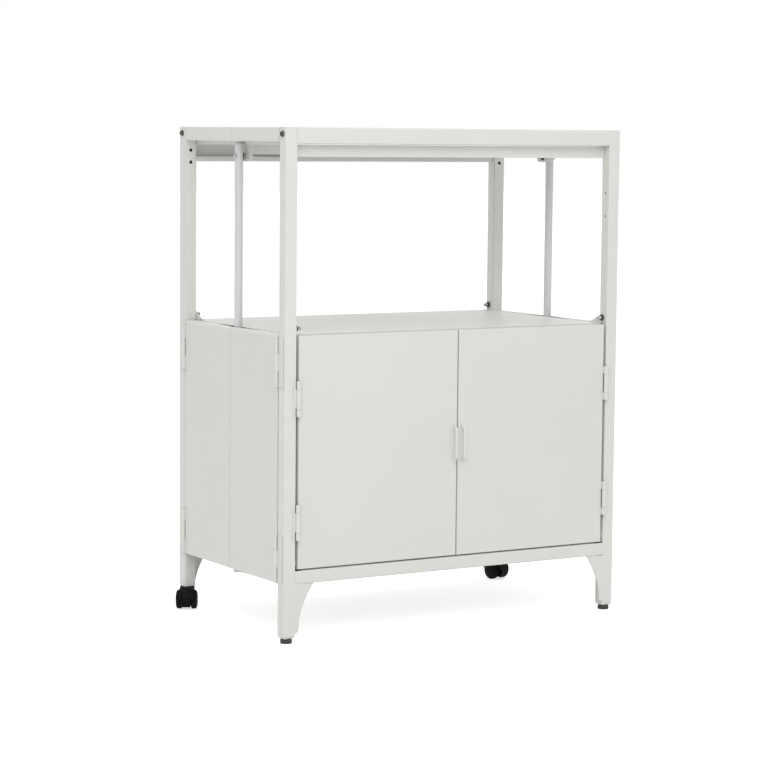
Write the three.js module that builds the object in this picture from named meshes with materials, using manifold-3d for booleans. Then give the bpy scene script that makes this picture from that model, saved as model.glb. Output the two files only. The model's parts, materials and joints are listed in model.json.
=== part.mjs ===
// Rolling storage cabinet of painted sheet steel that folds flat between its two leg frames.
// Millimetres, +Z up. X runs along the width, Y from the doors to the back.
// The origin is on the floor at the centre of the four legs.
import * as THREE from 'three';
import { mergeVertices } from 'three/addons/utils/BufferGeometryUtils.js';
import Module from 'manifold-3d';

const wasm = await Module();
wasm.setup();

// Overall size
const WIDTH = 700;
const DEPTH = 406;
const HEIGHT = 892;

// Clearances
const JOINT_GAP = 0.3;
const SLIDE_GAP = 0.6;
const SWING_GAP = 1;
const OVERRUN = 2;

// Leg tubes
const LEG = 23;
const LEG_WALL = 1.5;
const LEG_CORNER = 2;
const LEG_END_ROUND = 8;
const LEG_PLUG = 30;
const GUSSET_THICK = 3;
const GUSSET_REACH = 36.5;
const GUSSET_TOE = 7;
const GUSSET_TOE_Z = 24;
const GUSSET_STEPS = 8;
const REAR_HOLE_RADIUS = 3.2;
const REAR_HOLE_DROPS = [43, 65];
const FRONT_HOLE_RADIUS = 1.8;
const FRONT_HOLE_DROPS = [115, 157.5];

// Rails between the legs
const RAIL_DEPTH = 15;
const RAIL_WALL = 1.5;
const RAIL_CORNER = 2.5;
const RAIL_EAR_ROOM = 15;
const FRONT_RAIL_HEIGHT = 29;
const REAR_RAIL_DROP = 31;
const REAR_RAIL_HEIGHT = 32.5;
const REAR_RAIL_LIP = 9;
const BOTTOM_RAIL_Z = 104;
const BOTTOM_RAIL_HEIGHT = 23.5;

// Folding shelves
const SHEET = 1.2;
const TOP_RECESS = 30;
const TOP_PIVOT_RISE = 18;
const TOP_LIP = 21;
const TOP_REAR_LIP = 4;
const DECK_Z = 537;
const DECK_PIVOT_RISE = 10.5;
const DECK_LIP = 25;
const BASE_Z = 123.5;
const BASE_PIVOT_RISE = 17;
const BASE_LIP = 19;
const FOLD_DROP = 40;
const SHELF_END_INSET = 16;
const EAR_THICK = 1.5;
const EAR_RADIUS = 8.5;
const EAR_LENGTH = 37;
const LUG_THICK = 1.5;
const LUG_RADIUS = 8.5;
const LUG_REACH = 22;
const LUG_CORNER = 5.5;
const RIB_WIDTH = 30;
const RIB_DEPTH = 9;
const RIB_SHARE = 0.5;
const SIDE_RAIL_HEIGHT = 25.5;
const SIDE_RAIL_CORNER = 2.5;
const BRACKET_START = 12;
const BRACKET_LENGTH = 26;

// Hinge pins and link rods
const PIN_RADIUS = 3;
const PIN_PLAY = 0.2;
const PIN_HEAD_RADIUS = 5.8;
const PIN_HEAD_HEIGHT = 4;
const COLLAR_RADIUS = 6.5;
const ROD_RADIUS = 7.5;
const ROD_WALL = 1.2;
const ROD_ABOVE_PIN = 25;
const ROD_BELOW_PIN = 4.5;

// Pivot bolts
const BOLT_RADIUS = 3;
const BOLT_HEAD_RADIUS = 5.6;
const BOLT_HEAD_HEIGHT = 5;
const BOLT_CROWN = 1.4;
const BOLT_REACH = 13;
const DECK_NUT_HEIGHT = 4;
const DECK_BOLT_TAIL = 7;

// Side panels
const SIDE_PANEL_Z = 104;
const SIDE_PANEL_BEND = 5;
const SIDE_PANEL_EDGE = 8;
const SIDE_PANEL_SHELF = 20;
const SIDE_PANEL_TAPER = 86;
const SEAM_GAP = 1;
const ROD_NOTCH = 9.5;

// Back panel
const BACK_FOLD = 14.5;
const BACK_FOLD_INSET = 15;

// Doors and pulls
const DOOR_TOP_DROP = 2;
const DOOR_THICK = 14;
const DOOR_GAP = 2;
const DOOR_SEAM_X = 3;
const DOOR_SIDE_GAP = 5;
const DOOR_BEND = 2.5;
const PULL_LENGTH = 63;
const PULL_WIDTH = 4.5;
const PULL_THICK = 3;
const PULL_STANDOFF = 11;
const PULL_CORNER = 9;
const PULL_INSET = 7.5;
const PULL_Z = 332.5;

// Butt hinges, with their leaves on the outer faces
const LEAF_THICK = 1.4;
const HINGE_PIN_RADIUS = 1.3;
const HINGE_PLAY = 0.25;
const SIDE_GAP = 2.4;
const SIDE_HINGE = { length: 82, radius: 3.2, panelLeaf: 13, frameLeaf: 19, end_share: 0.3 };
const SIDE_HINGE_Z = [107, 447];
const DOOR_HINGE = { length: 62, radius: 4.2, panelLeaf: 9.5, frameLeaf: 9, end_share: 0.22 };
const DOOR_HINGE_Z = [181, 396];

// Feet
const FOOT_RADIUS = 10.3;
const FOOT_HEIGHT = 7;
const FOOT_EDGE = 1.5;
const FOOT_SPIGOT_RADIUS = 4.5;
const FOOT_SPIGOT = 14;

// Casters
const CASTER_HEIGHT = 39.9;
const WHEEL_RADIUS = 17.5;
const WHEEL_WIDTH = 11.5;
const WHEEL_SHOULDER = 3.5;
const WHEEL_CAP_RADIUS = 12;
const WEB_WIDTH = 16.5;
const WEB_FLOOR_GAP = 5;
const HOOD_WALL = 1.5;
const HOOD_LAP = 4.8;
const HOOD_SKIRT = 20;
const CASTER_TRAIL = 16;
const AXLE_RADIUS = 2.5;
const AXLE_PLAY = 0.15;
const STEM_RADIUS = 5;
const STEM_LENGTH = 24;
const CASTER_TURN_LEFT = 149;
const CASTER_TURN_RIGHT = 192;

// Facets of round shapes
const SMALL_SIDES = 12;
const ROD_SIDES = 16;
const WHEEL_SIDES = 24;
const BEND_STEPS = 3;
const BOW_STEPS = 5;
const EAR_STEPS = 9;

// Places worked out from the sizes
const HALF_W = WIDTH / 2;
const HALF_D = DEPTH / 2;
const LEG_HALF = LEG / 2;
const LEG_X = HALF_W - LEG_HALF;
const LEG_Y = HALF_D - LEG_HALF;
const LEG_IN_X = HALF_W - LEG;
const LEG_IN_Y = HALF_D - LEG;
const BOTTOM_RAIL_TOP = BOTTOM_RAIL_Z + BOTTOM_RAIL_HEIGHT;
const SHELF_END_Y = HALF_D - SHELF_END_INSET;
const EAR_OUT = LEG_IN_X - JOINT_GAP;
const EAR_IN = EAR_OUT - EAR_THICK;
const SHELF_HALF = EAR_IN + EAR_THICK / 4;
const ROD_X = SHELF_HALF + SLIDE_GAP + ROD_RADIUS;
const COLLAR_OUT = ROD_X - ROD_RADIUS - JOINT_GAP;
const COLLAR_IN = SHELF_HALF - SLIDE_GAP - LUG_THICK * 2;
const LUG_A = COLLAR_IN - SLIDE_GAP;
const LUG_B = LUG_A - LUG_THICK - SLIDE_GAP;
const LUG_ROOM = LUG_B - LUG_THICK - SLIDE_GAP;
const FLANGE_HALF = LUG_ROOM - PIN_HEAD_HEIGHT - SLIDE_GAP;
const TOP_RAIL_Z = HEIGHT - SIDE_RAIL_HEIGHT;
const LEVELS = {
  top: { surface: HEIGHT - TOP_RECESS, rise: TOP_PIVOT_RISE, lip: TOP_LIP, rearLip: TOP_REAR_LIP, bolted: true },
  deck: { surface: DECK_Z, rise: DECK_PIVOT_RISE, lip: DECK_LIP, rearLip: DECK_LIP, bolted: true },
  base: { surface: BASE_Z, rise: BASE_PIVOT_RISE, lip: BASE_LIP, rearLip: BASE_LIP, bolted: false },
};
for (const level of Object.values(LEVELS)) {
  level.pivot = level.surface + level.rise;
  level.pin = level.pivot - FOLD_DROP;
}
const BOLT_HOLE = BOLT_RADIUS + PIN_PLAY;
const TOP_CORNER = Math.hypot(LEG_HALF, HEIGHT - LEVELS.top.pivot);
const CHEEK_RADIUS = TOP_CORNER + JOINT_GAP;
const RAIL_END_RADIUS = CHEEK_RADIUS + SLIDE_GAP;
const CASTER_LEG_Z = CASTER_HEIGHT + SLIDE_GAP;
const FOOT_LEG_Z = FOOT_HEIGHT + JOINT_GAP;
const BARREL_GAP = SWING_GAP / 4;
const SIDE_HINGE_X = HALF_W + SIDE_HINGE.radius + BARREL_GAP;
const SIDE_HINGE_Y = LEG_IN_Y - SIDE_GAP / 2;
const DOOR_TOP = DECK_Z - DOOR_TOP_DROP;
const DOOR_BOTTOM = BOTTOM_RAIL_TOP + DOOR_GAP;
const DOOR_HINGE_X = LEG_IN_X - DOOR_SIDE_GAP / 2;
const DOOR_HINGE_Y = -HALF_D - DOOR_HINGE.radius - BARREL_GAP;
const DOOR_EDGE_X = LEG_IN_X - DOOR_SIDE_GAP;

// Finishes
const FINISHES = {
  paint: { color: 0xdedfda, roughness: 0.45, metalness: 0 },
  panelPaint: { color: 0xdcddd8, roughness: 0.5, metalness: 0 },
  steel: { color: 0xa9abab, roughness: 0.35, metalness: 0.8 },
  darkSteel: { color: 0x3c3a36, roughness: 0.4, metalness: 0.7 },
  rubber: { color: 0x161616, roughness: 0.8, metalness: 0 },
  blackPlastic: { color: 0x121212, roughness: 0.4, metalness: 0 },
};

// Solids: three.js geometry goes in, and is joined or cut as closed solids
function solidOf(geometry) {
  const bare = geometry.clone();
  bare.deleteAttribute('normal');
  bare.deleteAttribute('uv');
  const welded = mergeVertices(bare);
  const vertProperties = new Float32Array(welded.attributes.position.array);
  const triVerts = new Uint32Array(withoutSlivers(Array.from(welded.index.array)));
  return new wasm.Manifold(new wasm.Mesh({ numProp: 3, vertProperties, triVerts }));
}

// Triangles that a turned shape folds to nothing on its axis are left out
function withoutSlivers(index) {
  const kept = [];
  for (let i = 0; i < index.length; i += 3) {
    const [a, b, c] = index.slice(i, i + 3);
    if (a !== b && b !== c && c !== a) kept.push(a, b, c);
  }
  return kept;
}

function geometryOf(solid) {
  const mesh = solid.getMesh();
  const geometry = new THREE.BufferGeometry();
  geometry.setAttribute('position', new THREE.BufferAttribute(new Float32Array(mesh.vertProperties), 3));
  geometry.setIndex(new THREE.BufferAttribute(new Uint32Array(mesh.triVerts), 1));
  geometry.computeVertexNormals();
  return geometry;
}

function join(solids) {
  return solids.reduce((whole, next) => whole.add(next));
}

function cut(solid, tools) {
  return tools.reduce((rest, tool) => rest.subtract(tool), solid);
}

// A block between two corners, given in any order
function block(xs, ys, zs) {
  const low = new THREE.Vector3(Math.min(...xs), Math.min(...ys), Math.min(...zs));
  const high = new THREE.Vector3(Math.max(...xs), Math.max(...ys), Math.max(...zs));
  const size = high.clone().sub(low);
  const middle = low.clone().add(high).multiplyScalar(1 / 2);
  const geometry = new THREE.BoxGeometry(size.x, size.y, size.z);
  geometry.translate(middle.x, middle.y, middle.z);
  return solidOf(geometry);
}

// An outline drawn across an axis and pushed along it: across x it is in (y, z), across y in (x, z)
// and across z in (x, y)
function prism(axis, shape, span, steps = BEND_STEPS) {
  const from = Math.min(...span);
  const depth = Math.max(...span) - from;
  const geometry = new THREE.ExtrudeGeometry(shape, { depth, bevelEnabled: false, curveSegments: steps });
  if (axis === 'x') {
    geometry.applyMatrix4(new THREE.Matrix4().set(0, 0, 1, from, 1, 0, 0, 0, 0, 1, 0, 0, 0, 0, 0, 1));
  } else if (axis === 'y') {
    geometry.applyMatrix4(new THREE.Matrix4().set(1, 0, 0, 0, 0, 0, -1, from + depth, 0, 1, 0, 0, 0, 0, 0, 1));
  } else {
    geometry.translate(0, 0, from);
  }
  return solidOf(geometry);
}

function polygon(points) {
  return new THREE.Shape(points.map(([u, v]) => new THREE.Vector2(u, v)));
}

function disc(u, v, radius, sides = SMALL_SIDES) {
  const points = [];
  for (let i = 0; i < sides; i += 1) {
    const angle = (i + 1 / 2) * 2 * Math.PI / sides;
    points.push([u + radius * Math.cos(angle), v + radius * Math.sin(angle)]);
  }
  return polygon(points);
}

function bar(axis, u, v, radius, span, sides = SMALL_SIDES) {
  return prism(axis, disc(u, v, radius, sides), span);
}

// A rectangle with a radius for each corner, in the order low-low, high-low, high-high, low-high
function roundedRectangle(us, vs, radii) {
  const [u0, u1] = [Math.min(...us), Math.max(...us)];
  const [v0, v1] = [Math.min(...vs), Math.max(...vs)];
  const [a, b, c, d] = radii;
  const quarter = Math.PI / 2;
  const shape = new THREE.Shape();
  shape.moveTo(u0 + a, v0);
  shape.lineTo(u1 - b, v0);
  if (b > 0) shape.absarc(u1 - b, v0 + b, b, -quarter, 0, false);
  shape.lineTo(u1, v1 - c);
  if (c > 0) shape.absarc(u1 - c, v1 - c, c, 0, quarter, false);
  shape.lineTo(u0 + d, v1);
  if (d > 0) shape.absarc(u0 + d, v1 - d, d, quarter, Math.PI, false);
  shape.lineTo(u0, v0 + a);
  if (a > 0) shape.absarc(u0 + a, v0 + a, a, Math.PI, Math.PI + quarter, false);
  return shape;
}

function evenRectangle(us, vs, radius) {
  return roundedRectangle(us, vs, [radius, radius, radius, radius]);
}

// A turned piece about Z from (radius, z) points that start and end on the axis
function turned(points, sides) {
  const outline = points.map(([radius, z]) => new THREE.Vector2(radius, z));
  const geometry = new THREE.LatheGeometry(outline, sides);
  geometry.rotateX(Math.PI / 2);
  return geometry;
}

const cabinet = new THREE.Group();
cabinet.name = 'rolling_storage_cabinet';

function piece(name, solid, finish, parent = cabinet) {
  const geometry = solid.isBufferGeometry ? solid : geometryOf(solid);
  const mesh = new THREE.Mesh(geometry, new THREE.MeshStandardMaterial(FINISHES[finish]));
  mesh.name = name;
  parent.add(mesh);
  return mesh;
}

const SIDES = [['left', -1], ['right', 1]];
const ENDS = [['front', -1], ['rear', 1]];

// Legs: square tubes with a closed top, a plugged lower end and a curved gusset plate flush with their outer face.
// A leg is drawn about its own axis, and its inside corner lies towards (inX, inY).
function gussetOutline(inX, bottom) {
  const top = BOTTOM_RAIL_Z - JOINT_GAP;
  const toeZ = Math.max(GUSSET_TOE_Z, bottom);
  const root = LEG_HALF - LEG_CORNER;
  const points = [[inX * root, toeZ], [inX * root, top]];
  for (let i = GUSSET_STEPS; i >= 0; i -= 1) {
    const z = toeZ + (top - toeZ) * i / GUSSET_STEPS;
    const rise = (z - GUSSET_TOE_Z) / (top - GUSSET_TOE_Z);
    points.push([inX * (LEG_HALF + GUSSET_TOE + (GUSSET_REACH - GUSSET_TOE) * rise ** 2), z]);
  }
  return polygon(points);
}

function gussetToe(inX) {
  const low = GUSSET_TOE_Z - GUSSET_TOE;
  const shape = new THREE.Shape();
  shape.moveTo(inX * (LEG_HALF - LEG_CORNER), GUSSET_TOE_Z);
  shape.lineTo(inX * (LEG_HALF + GUSSET_TOE), GUSSET_TOE_Z);
  shape.quadraticCurveTo(inX * (LEG_HALF + GUSSET_TOE), low, inX * (LEG_HALF - LEG_CORNER), low);
  return shape;
}

function leg(inX, inY) {
  const front = inY > 0;
  const bottom = front ? FOOT_LEG_Z : CASTER_LEG_Z;
  const across = [-LEG_HALF, LEG_HALF];
  const height = [bottom, HEIGHT];
  let solid = prism('z', evenRectangle(across, across, LEG_CORNER), height);
  if (front) {
    const wide = [-LEG_HALF - OVERRUN, LEG_HALF + OVERRUN];
    const ends = [LEG_END_ROUND, LEG_END_ROUND, 0, 0];
    solid = solid.intersect(prism('y', roundedRectangle(across, height, ends), wide));
    solid = solid.intersect(prism('x', roundedRectangle(across, height, ends), wide));
  }
  const plate = [-inY * LEG_HALF, -inY * (LEG_HALF - GUSSET_THICK)];
  solid = solid.add(prism('y', gussetOutline(inX, bottom), plate));
  if (front) solid = solid.add(prism('y', gussetToe(inX), plate));

  // Half round cheek behind the pivot, which the end of the side rail turns round
  const cheek = bar('x', 0, LEVELS.top.pivot, CHEEK_RADIUS, across, WHEEL_SIDES);
  const beside = [inY * (LEG_HALF - LEG_WALL / 2), inY * (CHEEK_RADIUS + OVERRUN)];
  solid = solid.add(cheek.intersect(block(across, beside, [TOP_RAIL_Z, HEIGHT])));

  const bore = [-LEG_HALF + LEG_WALL, LEG_HALF - LEG_WALL];
  const hollow = block(bore, bore, [bottom + LEG_PLUG, HEIGHT - LEG_WALL]);
  const inside = [0, inX * (LEG_HALF + OVERRUN)];
  const through = [-LEG_HALF - OVERRUN, LEG_HALF + OVERRUN];
  const socket = front
    ? bar('z', 0, 0, FOOT_SPIGOT_RADIUS + PIN_PLAY, [bottom - OVERRUN, FOOT_LEG_Z + FOOT_SPIGOT + JOINT_GAP])
    : bar('z', 0, 0, STEM_RADIUS + PIN_PLAY, [bottom - OVERRUN, CASTER_LEG_Z + STEM_LENGTH + JOINT_GAP]);
  const holes = [
    hollow,
    socket,
    bar('x', 0, LEVELS.top.pivot, BOLT_HOLE, through),
    bar('x', 0, LEVELS.deck.pivot, BOLT_HOLE, inside),
    bar('x', 0, LEVELS.base.pivot, BOLT_HOLE, inside),
  ];
  if (front) {
    for (const drop of FRONT_HOLE_DROPS) holes.push(bar('x', 0, HEIGHT - drop, FRONT_HOLE_RADIUS, inside));
  } else {
    const face = [0, inY * (LEG_HALF + OVERRUN)];
    for (const drop of REAR_HOLE_DROPS) holes.push(bar('y', 0, HEIGHT - drop, REAR_HOLE_RADIUS, face));
  }
  return cut(solid, holes);
}

for (const [end, endSign] of ENDS) {
  for (const [side, sideSign] of SIDES) {
    const mesh = piece(`leg_${end}_${side}`, leg(-sideSign, -endSign), 'paint');
    mesh.position.set(sideSign * LEG_X, endSign * LEG_Y, 0);
  }
}

// Rails: tubes between the legs. Where shelf ears turn, only the outer web runs on to the leg.
// A rail with a lip height is open on its inner side above that lip.
function rail(endSign, zs, earRoom, lip = 0) {
  const outer = endSign * HALF_D;
  const inner = endSign * (HALF_D - RAIL_DEPTH);
  const half = LEG_IN_X - JOINT_GAP;
  const length = [-half, half];
  const tube = prism('x', evenRectangle([outer, inner], zs, RAIL_CORNER), length);
  const bore = [endSign * (HALF_D - RAIL_WALL), endSign * (HALF_D - RAIL_DEPTH + RAIL_WALL)];
  const low = Math.min(...zs) + RAIL_WALL;
  const high = Math.max(...zs) - RAIL_WALL;
  const tools = [block([-half - OVERRUN, half + OVERRUN], bore, [low, high])];
  if (lip > 0) {
    const face = [endSign * (HALF_D - RAIL_DEPTH - OVERRUN), bore[1] + endSign * OVERRUN];
    tools.push(block([-half - OVERRUN, half + OVERRUN], face, [Math.min(...zs) + lip, high]));
  }
  if (earRoom) {
    const behind = [endSign * (HALF_D - RAIL_WALL), endSign * (HALF_D - RAIL_DEPTH - OVERRUN)];
    const tall = [Math.min(...zs) - OVERRUN, Math.max(...zs) + OVERRUN];
    for (const [, sideSign] of SIDES) {
      const room = [sideSign * (half - RAIL_EAR_ROOM), sideSign * (half + OVERRUN)];
      tools.push(block(room, behind, tall));
    }
  }
  return cut(tube, tools);
}

const rearRailTop = HEIGHT - REAR_RAIL_DROP;
piece('front_top_rail', rail(-1, [HEIGHT - FRONT_RAIL_HEIGHT, HEIGHT], true), 'paint');
piece('front_bottom_rail', rail(-1, [BOTTOM_RAIL_Z, BOTTOM_RAIL_TOP], true), 'paint');
const rearRail = rail(1, [rearRailTop - REAR_RAIL_HEIGHT, rearRailTop], false, REAR_RAIL_LIP);
piece('rear_top_rail', rearRail, 'paint');
piece('rear_bottom_rail', rail(1, [BOTTOM_RAIL_Z, BOTTOM_RAIL_TOP], true), 'paint');

// Back panel: a sheet flush with the back of the rear legs, folded in at its top and bottom
function backPanel() {
  const half = LEG_IN_X - JOINT_GAP;
  const low = BOTTOM_RAIL_TOP + JOINT_GAP;
  const high = DECK_Z;
  const fold = [HALF_D - BACK_FOLD, HALF_D - SHEET / 2];
  const inset = [-half + BACK_FOLD_INSET, half - BACK_FOLD_INSET];
  return join([
    block([-half, half], [HALF_D - SHEET, HALF_D], [low, high]),
    block(inset, fold, [high - SHEET, high]),
    block(inset, fold, [low, low + SHEET]),
  ]);
}
piece('back_panel', backPanel(), 'panelPaint');

// Shelf halves. Each turns on its ears at the legs and on its lugs at the middle pin, and the pin lies
// below the ears, so the middle of the shelf rises as the frames close.
function ear(endSign, level, sideSign) {
  const xs = [sideSign * EAR_IN, sideSign * EAR_OUT];
  const base = level.surface - SHEET;
  const start = SHELF_END_Y - EAR_LENGTH;
  const outline = [[start, base], [SHELF_END_Y, base]];
  for (let i = 0; i <= EAR_STEPS; i += 1) {
    const angle = -Math.PI / 4 + Math.PI * i / EAR_STEPS;
    outline.push([LEG_Y + EAR_RADIUS * Math.cos(angle), level.pivot + EAR_RADIUS * Math.sin(angle)]);
  }
  outline.push([start, level.surface]);
  return prism('x', polygon(outline.map(([y, z]) => [endSign * y, z])), xs);
}

function lug(endSign, level, sideSign) {
  const outer = endSign > 0 ? LUG_A : LUG_B;
  const xs = [sideSign * outer, sideSign * (outer - LUG_THICK)];
  const reach = [0, endSign * LUG_REACH];
  const tall = [level.pin - LUG_RADIUS, level.surface - SHEET / 2];
  const radii = endSign > 0 ? [0, LUG_CORNER, 0, 0] : [LUG_CORNER, 0, 0, 0];
  const plate = prism('x', roundedRectangle(reach, tall, radii), xs);
  return join([plate, bar('x', 0, level.pin, LUG_RADIUS, xs, ROD_SIDES)]);
}

function shelfHalf(endSign, level) {
  const along = [-SHELF_HALF, SHELF_HALF];
  const near = endSign * SEAM_GAP / 2;
  const far = endSign * SHELF_END_Y;
  const under = level.surface - SHEET;
  const lip = endSign > 0 ? level.rearLip : level.lip;
  const flangeLow = level.pin + PIN_RADIUS + SLIDE_GAP;
  const solids = [
    block(along, [near, far], [under, level.surface]),
    block(along, [far, far - endSign * SHEET], [level.surface - lip, level.surface]),
    block([-FLANGE_HALF, FLANGE_HALF], [near, near + endSign * SHEET], [flangeLow, level.surface]),
  ];
  for (const [, sideSign] of SIDES) {
    const tab = [sideSign * (SHELF_HALF - SHEET), sideSign * EAR_OUT];
    solids.push(block(tab, [far - endSign * EAR_LENGTH, far], [under, level.surface]));
    solids.push(ear(endSign, level, sideSign));
    solids.push(lug(endSign, level, sideSign));
    const ribX = sideSign * SHELF_HALF * RIB_SHARE;
    const ribXs = [ribX - RIB_WIDTH / 2, ribX + RIB_WIDTH / 2];
    solids.push(block(ribXs, [near, far], [under - RIB_DEPTH, under + SHEET / 2]));
  }
  const tools = [];
  for (const [, sideSign] of SIDES) {
    const span = [sideSign * LUG_ROOM, sideSign * (EAR_OUT + OVERRUN)];
    tools.push(bar('x', 0, level.pin, PIN_RADIUS + PIN_PLAY, span));
    if (level.bolted) tools.push(bar('x', endSign * LEG_Y, level.pivot, BOLT_HOLE, span));
    const ribX = sideSign * SHELF_HALF * RIB_SHARE;
    const hollow = [ribX - RIB_WIDTH / 2 + SHEET, ribX + RIB_WIDTH / 2 - SHEET];
    const reach = [near + endSign * SHEET, far - endSign * SHEET];
    tools.push(block(hollow, reach, [under - RIB_DEPTH - OVERRUN, under]));
  }
  return { solids, tools };
}

// Side rail of the top tray, in line with the legs, with a bracket down to the tray near the middle
function sideRail(endSign, sideSign, level) {
  const xs = [sideSign * EAR_IN, sideSign * HALF_W];
  const ys = [endSign * SEAM_GAP / 2, endSign * (LEG_IN_Y - JOINT_GAP)];
  const zs = [TOP_RAIL_Z, HEIGHT];
  const r = SIDE_RAIL_CORNER;
  const radii = sideSign > 0 ? [0, r, r, 0] : [r, 0, 0, r];
  const body = prism('y', roundedRectangle(xs, zs, radii), ys);
  const boreX = [sideSign * (EAR_IN + EAR_THICK), sideSign * (HALF_W - EAR_THICK)];
  const boreY = [ys[0] + endSign * EAR_THICK, ys[1] + endSign * OVERRUN];
  const beyondEar = [sideSign * EAR_OUT, sideSign * (HALF_W + OVERRUN)];
  const tools = [
    block(boreX, boreY, [TOP_RAIL_Z + EAR_THICK, HEIGHT - EAR_THICK]),
    bar('x', endSign * LEG_Y, level.pivot, RAIL_END_RADIUS, beyondEar, WHEEL_SIDES),
  ];
  const bracketYs = [endSign * BRACKET_START, endSign * (BRACKET_START + BRACKET_LENGTH)];
  const bracket = block([sideSign * EAR_IN, sideSign * EAR_OUT], bracketYs, [level.surface - SHEET, HEIGHT - SHEET]);
  return join([cut(body, tools), bracket]);
}

for (const [end, endSign] of ENDS) {
  for (const [name, level] of Object.entries(LEVELS)) {
    const { solids, tools } = shelfHalf(endSign, level);
    if (name === 'top') {
      for (const [, sideSign] of SIDES) solids.push(sideRail(endSign, sideSign, level));
    }
    let half = cut(join(solids), tools);
    if (name === 'base') {
      for (const [, sideSign] of SIDES) {
        const pin = [sideSign * EAR_IN, sideSign * (LEG_IN_X + LEG_WALL * 2)];
        half = half.add(bar('x', endSign * LEG_Y, level.pivot, BOLT_RADIUS, pin));
      }
    }
    piece(`${name}_shelf_${end}`, half, 'paint');
  }
}

// Hinge pins at the middle of the shelves, with a collar between the lugs and the link rod. Under the deck
// and the base shelf one pin runs across, under the tray each side has a short one with a head at each end.
function collar(level, sideSign) {
  return bar('x', 0, level.pin, COLLAR_RADIUS, [sideSign * COLLAR_IN, sideSign * COLLAR_OUT]);
}

function longPin(level) {
  const half = ROD_X + ROD_RADIUS - ROD_WALL;
  return join([
    bar('x', 0, level.pin, PIN_RADIUS, [-half, half]),
    collar(level, -1),
    collar(level, 1),
  ]);
}

function shortPin(level, sideSign) {
  const inner = LUG_ROOM;
  const outer = ROD_X + ROD_RADIUS + JOINT_GAP;
  const solids = [
    bar('x', 0, level.pin, PIN_RADIUS, [sideSign * inner, sideSign * outer]),
    collar(level, sideSign),
  ];
  for (const span of [[inner - PIN_HEAD_HEIGHT, inner], [outer, outer + PIN_HEAD_HEIGHT]]) {
    solids.push(bar('x', 0, level.pin, PIN_HEAD_RADIUS, span.map((x) => sideSign * x)));
  }
  return join(solids);
}

for (const [side, sideSign] of SIDES) {
  piece(`hinge_pin_top_${side}`, shortPin(LEVELS.top, sideSign), 'darkSteel');
}
for (const name of ['deck', 'base']) piece(`hinge_pin_${name}`, longPin(LEVELS[name]), 'darkSteel');

// Link rods: upright tubes that tie the three middle pins together
function linkRod() {
  const low = LEVELS.base.pin - ROD_BELOW_PIN;
  const high = LEVELS.top.pin + ROD_ABOVE_PIN;
  const tools = [bar('z', 0, 0, ROD_RADIUS - ROD_WALL, [low - OVERRUN, high - ROD_WALL], ROD_SIDES)];
  for (const level of Object.values(LEVELS)) {
    tools.push(bar('x', 0, level.pin, PIN_RADIUS + PIN_PLAY, [-ROD_RADIUS - OVERRUN, ROD_RADIUS + OVERRUN]));
  }
  return cut(bar('z', 0, 0, ROD_RADIUS, [low, high], ROD_SIDES), tools);
}
for (const [side, sideSign] of SIDES) {
  piece(`link_rod_${side}`, linkRod(), 'paint').position.x = sideSign * ROD_X;
}

// Pivot bolts, drawn along Z from the head and laid along X towards the outside.
// The top ones pass through the leg to a nut, the deck ones stick out of their nut on the inside.
function topBolt() {
  const length = HALF_W - EAR_IN + JOINT_GAP * 2;
  const r = BOLT_HEAD_RADIUS;
  const h = BOLT_HEAD_HEIGHT;
  return turned([
    [0, h], [r - BOLT_CROWN, h], [r, h - BOLT_CROWN], [r, 0],
    [BOLT_RADIUS, 0], [BOLT_RADIUS, -length],
    [r, -length], [r, -length - h], [0, -length - h],
  ].reverse(), SMALL_SIDES);
}

function deckBolt() {
  const r = BOLT_HEAD_RADIUS;
  const h = DECK_NUT_HEIGHT;
  return turned([
    [0, -h - DECK_BOLT_TAIL], [BOLT_RADIUS, -h - DECK_BOLT_TAIL], [BOLT_RADIUS, -h],
    [r - BOLT_CROWN, -h], [r, -h + BOLT_CROWN], [r, 0],
    [BOLT_RADIUS, 0], [BOLT_RADIUS, BOLT_REACH], [0, BOLT_REACH],
  ], SMALL_SIDES);
}

for (const [end, endSign] of ENDS) {
  for (const [side, sideSign] of SIDES) {
    const top = piece(`top_bolt_${end}_${side}`, topBolt(), 'darkSteel');
    top.position.set(sideSign * (HALF_W + JOINT_GAP), endSign * LEG_Y, LEVELS.top.pivot);
    top.rotation.y = sideSign * Math.PI / 2;
    const deck = piece(`deck_bolt_${end}_${side}`, deckBolt(), 'darkSteel');
    deck.position.set(sideSign * (EAR_IN - JOINT_GAP), endSign * LEG_Y, LEVELS.deck.pivot);
    deck.rotation.y = sideSign * Math.PI / 2;
  }
}

// Butt hinges, drawn about their own axis: u runs across the gap towards the frame and v away from the faces.
// The frame leaf carries the middle knuckle and the pin, the panel leaf the end knuckles.
function hingeSpans(hinge, low) {
  const high = low + hinge.length;
  const end = hinge.length * hinge.end_share;
  return {
    ends: [[low, low + end], [high - end, high]],
    middle: [low + end + JOINT_GAP, high - end - JOINT_GAP],
    whole: [low, high],
  };
}

function plate(place, us, vs, span) {
  const corners = [[us[0], vs[0]], [us[1], vs[0]], [us[1], vs[1]], [us[0], vs[1]]];
  return prism('z', polygon(corners.map(([u, v]) => place(u, v))), span);
}

function frameLeaf(place, hinge, low) {
  const spans = hingeSpans(hinge, low);
  const [x, y] = place(0, 0);
  const face = -hinge.radius - BARREL_GAP;
  const vs = [face + JOINT_GAP, face + JOINT_GAP + LEAF_THICK];
  const clear = hinge.radius + SLIDE_GAP;
  return join([
    bar('z', x, y, hinge.radius, spans.middle),
    bar('z', x, y, HINGE_PIN_RADIUS, spans.whole),
    plate(place, [0, hinge.frameLeaf], vs, spans.middle),
    plate(place, [clear, hinge.frameLeaf], vs, spans.whole),
  ]);
}

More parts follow.
